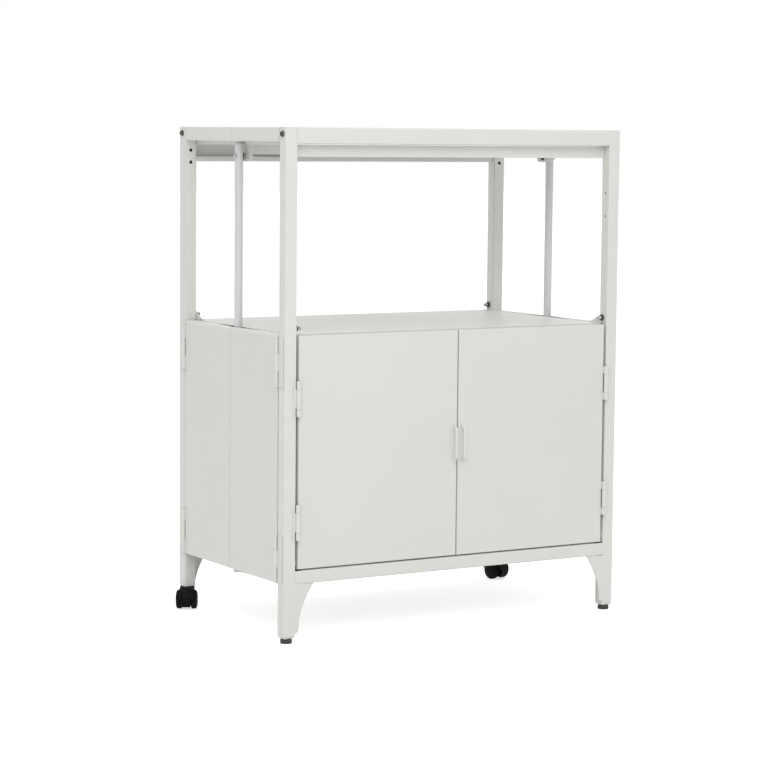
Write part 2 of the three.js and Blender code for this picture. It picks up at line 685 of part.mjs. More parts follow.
function panelLeaf(place, hinge, low) {
  const spans = hingeSpans(hinge, low);
  const [x, y] = place(0, 0);
  const face = -hinge.radius - BARREL_GAP;
  const vs = [face - LEAF_THICK / 2, face + LEAF_THICK];
  const clear = hinge.radius + SLIDE_GAP;
  const solids = [plate(place, [-clear, -hinge.panelLeaf], vs, spans.whole)];
  for (const span of spans.ends) {
    solids.push(bar('z', x, y, hinge.radius, span));
    solids.push(plate(place, [0, -hinge.panelLeaf], [face + JOINT_GAP, vs[1]], span));
  }
  return cut(join(solids), [bar('z', x, y, HINGE_PIN_RADIUS + HINGE_PLAY, spans.whole)]);
}

function sidePlace(endSign, sideSign) {
  return (u, v) => [sideSign * (SIDE_HINGE_X + v), endSign * (SIDE_HINGE_Y + u)];
}

function doorPlace(sideSign) {
  return (u, v) => [sideSign * (DOOR_HINGE_X + u), DOOR_HINGE_Y - v];
}

const HINGE_ENDS = ['lower', 'upper'];

// Side panels: each half hangs on the leg at its end of the cabinet and swings outwards
function sidePanel(endSign, sideSign) {
  const outer = sideSign * HALF_W;
  const bend = SIDE_PANEL_BEND;
  const near = endSign * SEAM_GAP / 2;
  const far = endSign * (LEG_IN_Y - SIDE_GAP);
  const taper = endSign * SIDE_PANEL_TAPER;
  const zs = [SIDE_PANEL_Z, DECK_Z];
  const radii = sideSign > 0 ? [0, 0, bend, 0] : [0, 0, 0, bend];
  const shelf = [outer, sideSign * (HALF_W - SIDE_PANEL_SHELF)];
  const full = prism('y', roundedRectangle(shelf, zs, radii), [near, far]);
  const past = sideSign * (HALF_W - SIDE_PANEL_SHELF - OVERRUN);
  const edge = sideSign * (HALF_W - SIDE_PANEL_EDGE);
  const inX = sideSign * (HALF_W - SHEET);
  const bore = prism('y', roundedRectangle(
    [inX, past],
    [SIDE_PANEL_Z + SHEET, DECK_Z - SHEET],
    radii.map((r) => Math.max(r - SHEET, 0)),
  ), [near + endSign * SHEET, far - endSign * SHEET]);
  const tools = [
    bore,
    block([edge, past], [near - endSign * OVERRUN, far + endSign * OVERRUN], [zs[0] - OVERRUN, zs[1] - SHEET]),
    block([edge, past], [near - endSign * OVERRUN, endSign * ROD_NOTCH], [zs[0], zs[1] + OVERRUN]),
    prism('z', polygon([
      [edge, near - endSign * OVERRUN], [edge, near + endSign * SHEET], [shelf[1], taper], [past, taper],
      [past, near - endSign * OVERRUN],
    ]), [zs[0] - OVERRUN, zs[1] + OVERRUN]),
  ];
  const solids = [cut(full, tools)];
  for (const low of SIDE_HINGE_Z) {
    solids.push(panelLeaf(sidePlace(endSign, sideSign), SIDE_HINGE, low));
  }
  return join(solids);
}

for (const [end, endSign] of ENDS) {
  for (const [side, sideSign] of SIDES) {
    piece(`side_panel_${end}_${side}`, sidePanel(endSign, sideSign), 'panelPaint');
    const place = sidePlace(endSign, sideSign);
    SIDE_HINGE_Z.forEach((low, i) => {
      piece(`side_hinge_${end}_${side}_${HINGE_ENDS[i]}`, frameLeaf(place, SIDE_HINGE, low), 'paint');
    });
  }
}

// Doors: folded sheet, open at the back, with their hinge leaves
function door(sideSign) {
  const xs = [DOOR_SEAM_X + sideSign * DOOR_GAP / 2, sideSign * DOOR_EDGE_X];
  const zs = [DOOR_BOTTOM, DOOR_TOP];
  const back = -HALF_D + DOOR_THICK;
  const b = DOOR_BEND;
  const upright = prism('z', roundedRectangle(xs, [-HALF_D, back], [b, b, 0, 0]), zs);
  const level = prism('x', roundedRectangle([-HALF_D, back], zs, [b, 0, 0, b]), xs);
  const inner = block(
    [xs[0] + sideSign * SHEET, xs[1] - sideSign * SHEET],
    [-HALF_D + SHEET, back + OVERRUN],
    [zs[0] + SHEET, zs[1] - SHEET],
  );
  const solids = [cut(upright.intersect(level), [inner])];
  for (const low of DOOR_HINGE_Z) {
    solids.push(panelLeaf(doorPlace(sideSign), DOOR_HINGE, low));
  }
  return join(solids);
}

// Bow pulls: a flat strip bent to stand off the door, drawn in (y, z)
function pull() {
  const bow = (inset, shape) => {
    const half = PULL_LENGTH / 2 - inset;
    const out = -PULL_STANDOFF + inset;
    const r = PULL_CORNER - inset;
    shape.lineTo(0, -half);
    shape.lineTo(out + r, -half);
    shape.absarc(out + r, -half + r, r, -Math.PI / 2, -Math.PI, true);
    shape.lineTo(out, half - r);
    shape.absarc(out + r, half - r, r, Math.PI, Math.PI / 2, true);
    shape.lineTo(0, half);
  };
  const outer = new THREE.Shape();
  outer.moveTo(0, -PULL_LENGTH / 2);
  bow(0, outer);
  const inner = new THREE.Shape();
  inner.moveTo(OVERRUN, -PULL_LENGTH / 2 + PULL_THICK);
  bow(PULL_THICK, inner);
  inner.lineTo(OVERRUN, PULL_LENGTH / 2 - PULL_THICK);
  const width = [-PULL_WIDTH / 2, PULL_WIDTH / 2];
  const wide = [-PULL_WIDTH, PULL_WIDTH];
  return cut(prism('x', outer, width, BOW_STEPS), [prism('x', inner, wide, BOW_STEPS)]);
}

for (const [side, sideSign] of SIDES) {
  piece(`door_${side}`, door(sideSign), 'panelPaint');
  const place = doorPlace(sideSign);
  DOOR_HINGE_Z.forEach((low, i) => {
    piece(`door_hinge_${side}_${HINGE_ENDS[i]}`, frameLeaf(place, DOOR_HINGE, low), 'paint');
  });
  const pullX = DOOR_SEAM_X + sideSign * (DOOR_GAP / 2 + PULL_INSET);
  piece(`pull_${side}`, pull(), 'paint').position.set(pullX, -HALF_D - JOINT_GAP, PULL_Z);
}

// Rubber feet with a spigot in the end of the leg
function foot() {
  return turned([
    [0, 0], [FOOT_RADIUS - FOOT_EDGE, 0], [FOOT_RADIUS, FOOT_EDGE], [FOOT_RADIUS, FOOT_HEIGHT],
    [FOOT_SPIGOT_RADIUS, FOOT_HEIGHT], [FOOT_SPIGOT_RADIUS, FOOT_HEIGHT + FOOT_SPIGOT],
    [0, FOOT_HEIGHT + FOOT_SPIGOT],
  ], ROD_SIDES);
}
for (const [side, sideSign] of SIDES) {
  piece(`foot_${side}`, foot(), 'rubber').position.set(sideSign * LEG_X, -LEG_Y, 0);
}

// Casters: drawn about the stem, with the axle behind it along +Y and a domed wheel on each side of a web
function casterHood() {
  const radius = CASTER_HEIGHT - WHEEL_RADIUS;
  const half = WEB_WIDTH / 2;
  const lap = half + HOOD_LAP;
  const [axleY, axleZ] = [CASTER_TRAIL, WHEEL_RADIUS];
  const drum = bar('x', axleY, axleZ, radius, [-half, half], WHEEL_SIDES);
  const neck = block([-half, half], [-radius / 2, axleY], [axleZ, CASTER_HEIGHT]);
  const tall = block([-lap, lap], [-HALF_D, HALF_D], [WEB_FLOOR_GAP, CASTER_HEIGHT]);
  const arch = bar('x', axleY, axleZ, radius, [-lap, lap], WHEEL_SIDES)
    .intersect(block([-lap, lap], [-HALF_D, HALF_D], [HOOD_SKIRT, CASTER_HEIGHT]));
  const wells = [[half, lap + OVERRUN], [-half, -lap - OVERRUN]].map((xs) => (
    bar('x', axleY, axleZ, radius - HOOD_WALL, xs, WHEEL_SIDES)
  ));
  const stem = bar('z', 0, 0, STEM_RADIUS, [axleZ, CASTER_LEG_Z + STEM_LENGTH]);
  const body = join([drum, neck]).intersect(tall);
  const axleHole = bar('x', axleY, axleZ, AXLE_RADIUS + AXLE_PLAY, [-half - OVERRUN, half + OVERRUN]);
  return cut(join([body, cut(arch, wells), stem]), [axleHole]);
}

function casterWheel() {
  const [r, w] = [WHEEL_RADIUS, WHEEL_WIDTH];
  const middle = (r + WHEEL_CAP_RADIUS) / 2;
  const tread = turned([
    [0, 0], [r - WHEEL_SHOULDER / 3, 0], [r, WHEEL_SHOULDER / 3], [r, w - WHEEL_SHOULDER],
    [r - WHEEL_SHOULDER / 2, w - WHEEL_SHOULDER / 2], [middle, w - WHEEL_SHOULDER / 3],
    [WHEEL_CAP_RADIUS, w - WHEEL_SHOULDER / 6], [WHEEL_CAP_RADIUS / 2, w], [0, w],
  ], WHEEL_SIDES);
  return cut(solidOf(tread), [bar('z', 0, 0, AXLE_RADIUS + AXLE_PLAY, [-OVERRUN, w - HOOD_WALL])]);
}

function casterAxle() {
  const half = WEB_WIDTH / 2 + SLIDE_GAP + WHEEL_WIDTH - HOOD_WALL - JOINT_GAP;
  return bar('x', 0, 0, AXLE_RADIUS, [-half, half]);
}

function caster(side, sideSign, turn) {
  const group = new THREE.Group();
  group.position.set(sideSign * LEG_X, LEG_Y, 0);
  group.rotation.z = THREE.MathUtils.degToRad(turn);
  piece(`caster_hood_${side}`, casterHood(), 'blackPlastic', group);
  piece(`caster_axle_${side}`, casterAxle(), 'steel', group).position.set(0, CASTER_TRAIL, WHEEL_RADIUS);
  for (const [hand, handSign] of SIDES) {
    const wheel = piece(`caster_wheel_${side}_${hand}`, casterWheel(), 'rubber', group);
    wheel.position.set(handSign * (WEB_WIDTH / 2 + SLIDE_GAP), CASTER_TRAIL, WHEEL_RADIUS);
    wheel.rotation.y = handSign * Math.PI / 2;
  }
  cabinet.add(group);
}
caster('left', -1, CASTER_TURN_LEFT);
caster('right', 1, CASTER_TURN_RIGHT);

export default cabinet;
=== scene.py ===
"""A folding storage cabinet on casters, in white powder coated steel.

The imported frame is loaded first. Each operator then makes one group of pieces around it, and the last one
makes the studio: floor, lamps and camera.
"""

import json
import math

import bmesh
import bpy
from mathutils import Matrix, Vector


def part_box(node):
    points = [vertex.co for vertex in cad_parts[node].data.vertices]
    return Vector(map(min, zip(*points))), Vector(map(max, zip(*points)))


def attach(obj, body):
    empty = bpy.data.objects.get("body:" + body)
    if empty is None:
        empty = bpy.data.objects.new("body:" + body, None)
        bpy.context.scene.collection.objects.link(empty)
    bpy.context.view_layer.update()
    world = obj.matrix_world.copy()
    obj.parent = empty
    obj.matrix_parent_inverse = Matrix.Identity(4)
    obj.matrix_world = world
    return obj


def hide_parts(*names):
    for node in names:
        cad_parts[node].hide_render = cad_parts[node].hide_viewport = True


bl_info = {
    "name": "Folding Storage Cabinet",
    "version": (1, 0, 0),
    "blender": (4, 5, 0),
    "location": "View3D > Sidebar > Cabinet",
    "description": "Makes the finished pieces of a folding storage cabinet around its frame",
    "category": "Add Mesh",
}

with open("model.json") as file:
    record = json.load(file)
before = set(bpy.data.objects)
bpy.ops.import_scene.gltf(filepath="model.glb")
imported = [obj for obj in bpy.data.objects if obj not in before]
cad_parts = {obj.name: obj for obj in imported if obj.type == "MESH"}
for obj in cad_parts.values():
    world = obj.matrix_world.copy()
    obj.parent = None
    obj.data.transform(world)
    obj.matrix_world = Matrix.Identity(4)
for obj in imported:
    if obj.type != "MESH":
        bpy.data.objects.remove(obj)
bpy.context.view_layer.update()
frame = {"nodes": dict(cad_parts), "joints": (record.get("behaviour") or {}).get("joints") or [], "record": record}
NODES = frame["nodes"]
JOINTS = {joint["name"]: joint for joint in frame["joints"]}
BODY_OF = {
    node: body
    for body, members in frame["record"]["behaviour"]["bodies"].items()
    for node in members
}

MM = 0.001
WELD = 1e-6
FLAT_ANGLE = math.radians(0.5)
FOLD_ANGLE = math.radians(38)
SIDES = ("left", "right")
ENDS = ("front", "rear")
LEVELS = ("top", "deck", "base")
HEIGHTS = ("lower", "upper")
ARC_STEPS = 6

# Turns an outline drawn in (y, z) so that it is pushed along X
ACROSS_X = Matrix(((0, 0, 1, 0), (1, 0, 0, 0), (0, 1, 0, 0), (0, 0, 0, 1)))

# Sizes that the frame's boxes don't give
PIN_RADIUS = 3 * MM
PLAY = 0.3 * MM
TOP_HEAD = 5 * MM
DECK_NUT = 4 * MM
DECK_TAIL = 7 * MM
CASTER_WEB = 16.5 * MM
HOOD_LAP = 4.8 * MM
HOOD_WALL = 1.5 * MM
HOOD_FLOOR_GAP = 5 * MM
WHEEL_WIDTH = 11.5 * MM
SLIDE_GAP = 0.6 * MM
AXLE_RADIUS = 2.5 * MM
STEM_RADIUS = 5 * MM

# Material of each finish, and the record's slot where its name differs
FINISHES = {
    "paint": "powder_coat_frame",
    "panel_paint": "powder_coat_panel",
    "rod": "pale_zinc",
    "steel": "bright_zinc",
    "dark_steel": "dark_zinc",
    "rubber": "black_rubber",
    "foot_rubber": "foot_rubber",
    "black_plastic": "black_nylon",
}


# Settings


class CabinetFinish(bpy.types.PropertyGroup):
    """Colours and gloss of the cabinet's finishes"""

    paint: bpy.props.FloatVectorProperty(
        name="Paint",
        description="Colour of the powder coat on tubes, rails and shelves",
        subtype="COLOR",
        default=(0.735, 0.735, 0.700),
        min=0,
        max=1,
    )
    panel_paint: bpy.props.FloatVectorProperty(
        name="Panel Paint",
        description="Colour of the powder coat on doors and panels",
        subtype="COLOR",
        default=(0.725, 0.728, 0.695),
        min=0,
        max=1,
    )
    rod_zinc: bpy.props.FloatVectorProperty(
        name="Rod Zinc",
        description="Colour of the pale zinc on the link rods",
        subtype="COLOR",
        default=(0.64, 0.645, 0.65),
        min=0,
        max=1,
    )
    bright_zinc: bpy.props.FloatVectorProperty(
        name="Bright Zinc",
        description="Colour of the caster stems and axles, bolt ends and outer pin heads",
        subtype="COLOR",
        default=(0.45, 0.45, 0.45),
        min=0,
        max=1,
    )
    dark_zinc: bpy.props.FloatVectorProperty(
        name="Dark Zinc",
        description="Colour of the plated bolts, nuts and pins",
        subtype="COLOR",
        default=(0.085, 0.078, 0.066),
        min=0,
        max=1,
    )
    rubber: bpy.props.FloatVectorProperty(
        name="Rubber",
        description="Colour of the wheel treads",
        subtype="COLOR",
        default=(0.005, 0.005, 0.005),
        min=0,
        max=1,
    )
    foot_rubber: bpy.props.FloatVectorProperty(
        name="Foot Rubber",
        description="Colour of the feet",
        subtype="COLOR",
        default=(0.085, 0.085, 0.082),
        min=0,
        max=1,
    )
    nylon: bpy.props.FloatVectorProperty(
        name="Nylon",
        description="Colour of the caster hoods and wheel caps",
        subtype="COLOR",
        default=(0.003, 0.003, 0.003),
        min=0,
        max=1,
    )
    paint_roughness: bpy.props.FloatProperty(
        name="Paint Roughness",
        description="Middle roughness of the powder coat",
        default=0.46,
        min=0,
        max=1,
    )
    grain: bpy.props.FloatProperty(
        name="Coat Grain",
        description="Size of one dimple of the powder coat",
        default=0.0009,
        min=0.0001,
        unit="LENGTH",
    )


class CabinetSizes(bpy.types.PropertyGroup):
    """Small sizes that the finished pieces add to the frame"""

    tube_edge: bpy.props.FloatProperty(
        name="Tube Edge",
        description="Rounding of the edges of tubes and rails",
        default=0.0006,
        unit="LENGTH",
    )
    sheet_edge: bpy.props.FloatProperty(
        name="Sheet Edge",
        description="Rounding of the edges of folded sheet",
        default=0.00035,
        unit="LENGTH",
    )
    pull_edge: bpy.props.FloatProperty(
        name="Pull Edge",
        description="Rounding of the edges of the bow pulls",
        default=0.0009,
        unit="LENGTH",
    )
    weld_reach: bpy.props.FloatProperty(
        name="Weld Reach",
        description="How far the rails run into the legs that they are welded to",
        default=0.0006,
        unit="LENGTH",
    )
    foot_ribs: bpy.props.IntProperty(
        name="Foot Ribs",
        description="Number of grip ribs round a foot",
        default=24,
        min=3,
    )
    cap_spokes: bpy.props.IntProperty(
        name="Cap Spokes",
        description="Number of spokes in a wheel cap",
        default=8,
        min=3,
    )


class CabinetStudio(bpy.types.PropertyGroup):
    """Camera, lamps and floor"""

    camera_place: bpy.props.FloatVectorProperty(
        name="Camera Place",
        description="Where the camera stands",
        subtype="TRANSLATION",
        default=(-2.3971, -3.9441, 0.8780),
    )
    camera_yaw: bpy.props.FloatProperty(
        name="Camera Yaw",
        description="Turn of the view to the right of the depth axis",
        subtype="ANGLE",
        default=math.radians(30.9706),
    )
    camera_pitch: bpy.props.FloatProperty(
        name="Camera Pitch",
        description="Tilt of the view downwards",
        subtype="ANGLE",
        default=math.radians(5.6642),
    )
    camera_roll: bpy.props.FloatProperty(
        name="Camera Roll",
        description="Turn of the picture about the view",
        subtype="ANGLE",
        default=math.radians(-0.5334),
    )
    lens: bpy.props.FloatProperty(
        name="Lens",
        description="Focal length on the sensor width",
        default=117.236,
        min=1,
    )
    sensor: bpy.props.FloatProperty(
        name="Sensor",
        description="Width of the sensor",
        default=36,
        min=1,
    )
    surround: bpy.props.FloatProperty(
        name="Surround",
        description="Strength of the even light from all round",
        default=0.69,
        min=0,
    )
    key_power: bpy.props.FloatProperty(
        name="Key Power",
        description="Power of the large lamp at the front left",
        default=56,
        min=0,
    )
    top_power: bpy.props.FloatProperty(
        name="Top Power",
        description="Power of the lamp overhead",
        default=22,
        min=0,
    )
    floor_size: bpy.props.FloatProperty(
        name="Floor Size",
        description="Length of one side of the floor",
        default=60,
        unit="LENGTH",
    )
    floor_white: bpy.props.FloatProperty(
        name="Floor White",
        description="Grey value of the floor",
        default=0.80,
        min=0,
        max=1,
    )
    floor_glow: bpy.props.FloatProperty(
        name="Floor Glow",
        description="White that the floor shows to the camera",
        default=0.66,
        min=0,
    )


def finish_settings():
    return bpy.context.scene.cabinet_finish


def size_settings():
    return bpy.context.scene.cabinet_sizes


# Materials


class Shading:
    """A material's nodes, with short ways to add and join them"""

    def __init__(self, name):
        self.material = bpy.data.materials.new(name)
        self.material.use_nodes = True
        self.tree = self.material.node_tree
        self.shader = self.tree.nodes["Principled BSDF"]
        self.place = self.add("ShaderNodeTexCoord").outputs["Object"]

    def add(self, kind, values=None, **settings):
        node = self.tree.nodes.new(kind)
        for key, value in settings.items():
            setattr(node, key, value)
        for key, value in (values or {}).items():
            node.inputs[key].default_value = value
        return node

    def join(self, source, target):
        self.tree.links.new(source, target)

    def noise(self, scale, detail=2.0, stretch=None):
        """Noise with scale cells to a metre"""
        node = self.add("ShaderNodeTexNoise", {"Scale": scale, "Detail": detail})
        place = self.place
        if stretch:
            mapping = self.add("ShaderNodeMapping", {"Scale": stretch})
            self.join(place, mapping.inputs["Vector"])
            place = mapping.outputs["Vector"]
        self.join(place, node.inputs["Vector"])
        return node.outputs["Fac"]

    def spread(self, source, low, high, start=0.3, end=0.7):
        values = {"From Min": start, "From Max": end, "To Min": low, "To Max": high}
        node = self.add("ShaderNodeMapRange", values)
        self.join(source, node.inputs["Value"])
        return node.outputs["Result"]

    def tint(self, source, dark, light, start=0.3, end=0.7):
        node = self.add("ShaderNodeValToRGB")
        node.color_ramp.elements[0].position = start
        node.color_ramp.elements[1].position = end
        node.color_ramp.elements[0].color = (*dark, 1)
        node.color_ramp.elements[1].color = (*light, 1)
        self.join(source, node.inputs["Fac"])
        return node.outputs["Color"]

    def bump(self, source, distance, strength=1.0, before=None):
        node = self.add("ShaderNodeBump", {"Distance": distance, "Strength": strength})
        self.join(source, node.inputs["Height"])
        if before:
            self.join(before, node.inputs["Normal"])
        return node.outputs["Normal"]

    def finish(self, colour=None, roughness=None, normal=None, **constants):
        if colour:
            self.join(colour, self.shader.inputs["Base Color"])
        if roughness:
            self.join(roughness, self.shader.inputs["Roughness"])
        if normal:
            self.join(normal, self.shader.inputs["Normal"])
        for key, value in constants.items():
            self.shader.inputs[key.replace("_", " ")].default_value = value
        return self.material


def shade(colour, factor):
    """The colour made darker or lighter by a factor"""
    return tuple(min(1.0, channel * factor) for channel in colour)


def powder_coat(name, colour, ripple):
    """Satin powder coat: fine orange peel, a slow ripple on wide sheet and a faint change of tone"""
    look = finish_settings()
    sheet = Shading(name)
    patches = sheet.noise(4.0, 3.0)
    tone = sheet.tint(patches, shade(colour, 0.985), shade(colour, 1.012))
    middle = look.paint_roughness
    spots = sheet.noise(55.0, 4.0)
    gloss = sheet.spread(spots, middle - 0.07, middle + 0.07)
    dimples = sheet.noise(1 / look.grain)
    normal = sheet.bump(dimples, 0.00006, 0.5)
    if ripple:
        waves = sheet.noise(5.0, 1.0)
        normal = sheet.bump(waves, ripple, before=normal)
    return sheet.finish(tone, gloss, normal, Coat_Weight=0.12, Coat_Roughness=0.3)


def zinc(name, colour, metallic, roughness, cloud_range):
    """Zinc plate: cloudy tone and fine drawn lines"""
    sheet = Shading(name)
    cloud = sheet.noise(140.0, 4.0)
    tone = sheet.tint(cloud, shade(colour, 1 - cloud_range), shade(colour, 1 + cloud_range))
    lines = sheet.noise(900.0, 3.0, (1.0, 1.0, 0.06))
    gloss = sheet.spread(lines, roughness - 0.08, roughness + 0.1)
    normal = sheet.bump(lines, 0.00004, 0.5)
    return sheet.finish(tone, gloss, normal, Metallic=metallic)


def rubber(name, colour):
    """Matte rubber with pores and a little floor dust in them"""
    sheet = Shading(name)
    pores = sheet.noise(700.0, 5.0)
    dusty = tuple(channel + 0.008 for channel in colour)
    tone = sheet.tint(sheet.noise(160.0, 5.0), colour, dusty, 0.45, 0.8)
    gloss = sheet.spread(pores, 0.68, 0.86)
    return sheet.finish(tone, gloss, sheet.bump(pores, 0.0001, 0.6), Specular_IOR_Level=0.1)


def nylon(name, colour):
    """Moulded nylon with a spark eroded grain"""
    sheet = Shading(name)
    grain = sheet.noise(1400.0, 2.0)
    tone = sheet.tint(sheet.noise(60.0, 3.0), colour, shade(colour, 1.5))
    gloss = sheet.spread(grain, 0.38, 0.52)
    return sheet.finish(tone, gloss, sheet.bump(grain, 0.00005, 0.5), Specular_IOR_Level=0.08)


def make_materials():
    look = finish_settings()
    powder_coat(FINISHES["paint"], look.paint, ripple=0)
    powder_coat(FINISHES["panel_paint"], look.panel_paint, ripple=0.0004)
    zinc(FINISHES["rod"], look.rod_zinc, metallic=0.2, roughness=0.45, cloud_range=0.02)
    zinc(FINISHES["steel"], look.bright_zinc, metallic=0.85, roughness=0.4, cloud_range=0.12)
    zinc(FINISHES["dark_steel"], look.dark_zinc, metallic=0.5, roughness=0.5, cloud_range=0.16)
    rubber(FINISHES["rubber"], look.rubber)
    rubber(FINISHES["foot_rubber"], look.foot_rubber)
    nylon(FINISHES["black_plastic"], look.nylon)


def material(key):
    return bpy.data.materials[FINISHES[key]]


# Meshes


def linked(name, mesh):
    piece = bpy.data.objects.new(name, mesh)
    bpy.context.scene.collection.objects.link(piece)
    return piece


def from_bmesh(name, shape, key):
    """An object from a bmesh whose faces are turned outwards"""
    bmesh.ops.recalc_face_normals(shape, faces=shape.faces)
    mesh = bpy.data.meshes.new(name)
    shape.to_mesh(mesh)
    shape.free()
    mesh.materials.append(material(key))
    return linked(name, mesh)


def baked(piece):
    """The object with its modifiers worked into its mesh"""
    graph = bpy.context.evaluated_depsgraph_get()
    mesh = bpy.data.meshes.new_from_object(piece.evaluated_get(graph))
    mesh.name = piece.name
    piece.modifiers.clear()
    piece.data = mesh
    return piece


def rounded(piece, width, segments=2, angle=FOLD_ANGLE):
    """The object with its sharp edges rounded and its flat faces shaded flat"""
    if width:
        bevel = piece.modifiers.new("edges", "BEVEL")
        bevel.width = width
        bevel.segments = segments
        bevel.limit_method = "ANGLE"
        bevel.angle_limit = angle
        bevel.use_clamp_overlap = False
        baked(piece)
    piece.data.shade_smooth()
    piece.data.set_sharp_from_angle(angle=angle)
    weighted = piece.modifiers.new("flat faces", "WEIGHTED_NORMAL")
    weighted.keep_sharp = True
    return baked(piece)


def copy_of_node(node, name, key):
    """A clean copy of a frame node: its triangles merged and its flat faces joined"""
    shape = bmesh.new()
    shape.from_mesh(NODES[node].data)
    bmesh.ops.remove_doubles(shape, verts=shape.verts, dist=WELD)
    bmesh.ops.dissolve_limit(
        shape, angle_limit=FLAT_ANGLE, verts=shape.verts, edges=shape.edges
    )
    mesh = bpy.data.meshes.new(name)
    shape.to_mesh(mesh)
    shape.free()
    mesh.materials.clear()
    mesh.materials.append(material(key))
    return linked(name, mesh)


def ride(piece, body, key, *nodes):
    """Fixes a finished piece to its body and stands it in for frame nodes. The finish key is not used"""
    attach(piece, body)
    if nodes:
        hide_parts(*nodes)
    return piece


def finished_node(node, suffix, key, width, segments=2, reach=0.0):
    """The frame node's own shape with soft edges and its finish, its ends along X drawn out by reach"""
    piece = copy_of_node(node, f"{node}_{suffix}", key)
    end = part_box(node)[1].x
    for vertex in piece.data.vertices:
        if reach and abs(vertex.co.x) > end - WELD:
            vertex.co.x += math.copysign(reach, vertex.co.x)
    rounded(piece, width, segments)
    return ride(piece, BODY_OF[node], key, node)


def turned(shape, profile, sides, place):
    """Adds a closed turned body to a bmesh: profile is (radius, height) along local Z"""
    rings = []
    for radius, height in profile:
        if radius < WELD:
            rings.append([shape.verts.new(place @ Vector((0, 0, height)))])
            continue
        ring = []
        for i in range(sides):
            angle = math.tau * i / sides
            point = Vector((radius * math.cos(angle), radius * math.sin(angle), height))
            ring.append(shape.verts.new(place @ point))
        rings.append(ring)
    for lower, upper in zip(rings, rings[1:]):
        for i in range(sides):
            j = (i + 1) % sides
            corners = [lower[i % len(lower)], lower[j % len(lower)]]
            corners += [upper[j % len(upper)], upper[i % len(upper)]]
            unique = list(dict.fromkeys(corners))
            if len(unique) > 2:
                shape.faces.new(unique)


def prism(shape, outline, low, high, place):
    """Adds a closed prism to a bmesh: outline is (x, y) in local space, pushed from low to high in Z"""
    floor = [shape.verts.new(place @ Vector((x, y, low))) for x, y in outline]
    roof = [shape.verts.new(place @ Vector((x, y, high))) for x, y in outline]
    shape.faces.new(floor[::-1])
    shape.faces.new(roof)
    count = len(outline)
    for i in range(count):
        j = (i + 1) % count
        shape.faces.new((floor[i], floor[j], roof[j], roof[i]))


def ring_points(radius, sides):
    turns = [math.tau * i / sides for i in range(sides)]
    return [(radius * math.cos(turn), radius * math.sin(turn)) for turn in turns]


def arc(centre, radius, start, end, steps=ARC_STEPS):
    """Points of an arc, angles in degrees"""
    points = []
    for i in range(steps + 1):
        angle = math.radians(start + (end - start) * i / steps)
        points.append((centre[0] + radius * math.cos(angle), centre[1] + radius * math.sin(angle)))
    return points


def along_x(place, direction=1):
    """A placement whose local Z runs along the world's X, times direction"""
    return Matrix.Translation(place) @ Matrix.Rotation(direction * math.pi / 2, 4, "Y")


def centre_of(node):
    low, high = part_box(node)
    return (low + high) / 2


# Rings of ribs


def socket_of(tree, name):
    return next(item.identifier for item in tree.interface.items_tree if item.name == name)


def rib_ring_tree():
    """Geometry nodes that set ribs round a circle about local Z: each rib is a block of the given size"""
    tree = bpy.data.node_groups.new("rib_ring", "GeometryNodeTree")
    face = tree.interface
    face.new_socket(name="Geometry", in_out="INPUT", socket_type="NodeSocketGeometry")
    face.new_socket(name="Count", in_out="INPUT", socket_type="NodeSocketInt")
    face.new_socket(name="Radius", in_out="INPUT", socket_type="NodeSocketFloat")
    for name in ("Lift", "Size"):
        face.new_socket(name=name, in_out="INPUT", socket_type="NodeSocketVector")
    face.new_socket(name="Material", in_out="INPUT", socket_type="NodeSocketMaterial")
    face.new_socket(name="Result", in_out="OUTPUT", socket_type="NodeSocketGeometry")
    nodes, links = tree.nodes, tree.links
    given = nodes.new("NodeGroupInput")
    circle = nodes.new("GeometryNodeCurvePrimitiveCircle")
    links.new(given.outputs["Radius"], circle.inputs["Radius"])
    spots = nodes.new("GeometryNodeCurveToPoints")
    links.new(circle.outputs["Curve"], spots.inputs["Curve"])
    links.new(given.outputs["Count"], spots.inputs["Count"])
    block = nodes.new("GeometryNodeMeshCube")
    links.new(given.outputs["Size"], block.inputs["Size"])
    ribs = nodes.new("GeometryNodeInstanceOnPoints")
    links.new(spots.outputs["Points"], ribs.inputs["Points"])
    links.new(block.outputs["Mesh"], ribs.inputs["Instance"])
    facing = nodes.new("FunctionNodeAlignRotationToVector")
    facing.axis = "X"
    facing.pivot_axis = "Z"
    place = nodes.new("GeometryNodeInputPosition")
    links.new(place.outputs["Position"], facing.inputs["Vector"])
    links.new(facing.outputs["Rotation"], ribs.inputs["Rotation"])
    lifted = nodes.new("GeometryNodeTransform")
    links.new(ribs.outputs["Instances"], lifted.inputs["Geometry"])
    links.new(given.outputs["Lift"], lifted.inputs["Translation"])
    both = nodes.new("GeometryNodeJoinGeometry")
    links.new(lifted.outputs["Geometry"], both.inputs["Geometry"])
    links.new(given.outputs["Geometry"], both.inputs["Geometry"])
    solid = nodes.new("GeometryNodeRealizeInstances")
    links.new(both.outputs["Geometry"], solid.inputs["Geometry"])
    paint = nodes.new("GeometryNodeSetMaterial")
    links.new(solid.outputs["Geometry"], paint.inputs["Geometry"])
    links.new(given.outputs["Material"], paint.inputs["Material"])
    result = nodes.new("NodeGroupOutput")
    links.new(paint.outputs["Geometry"], result.inputs["Result"])
    return tree


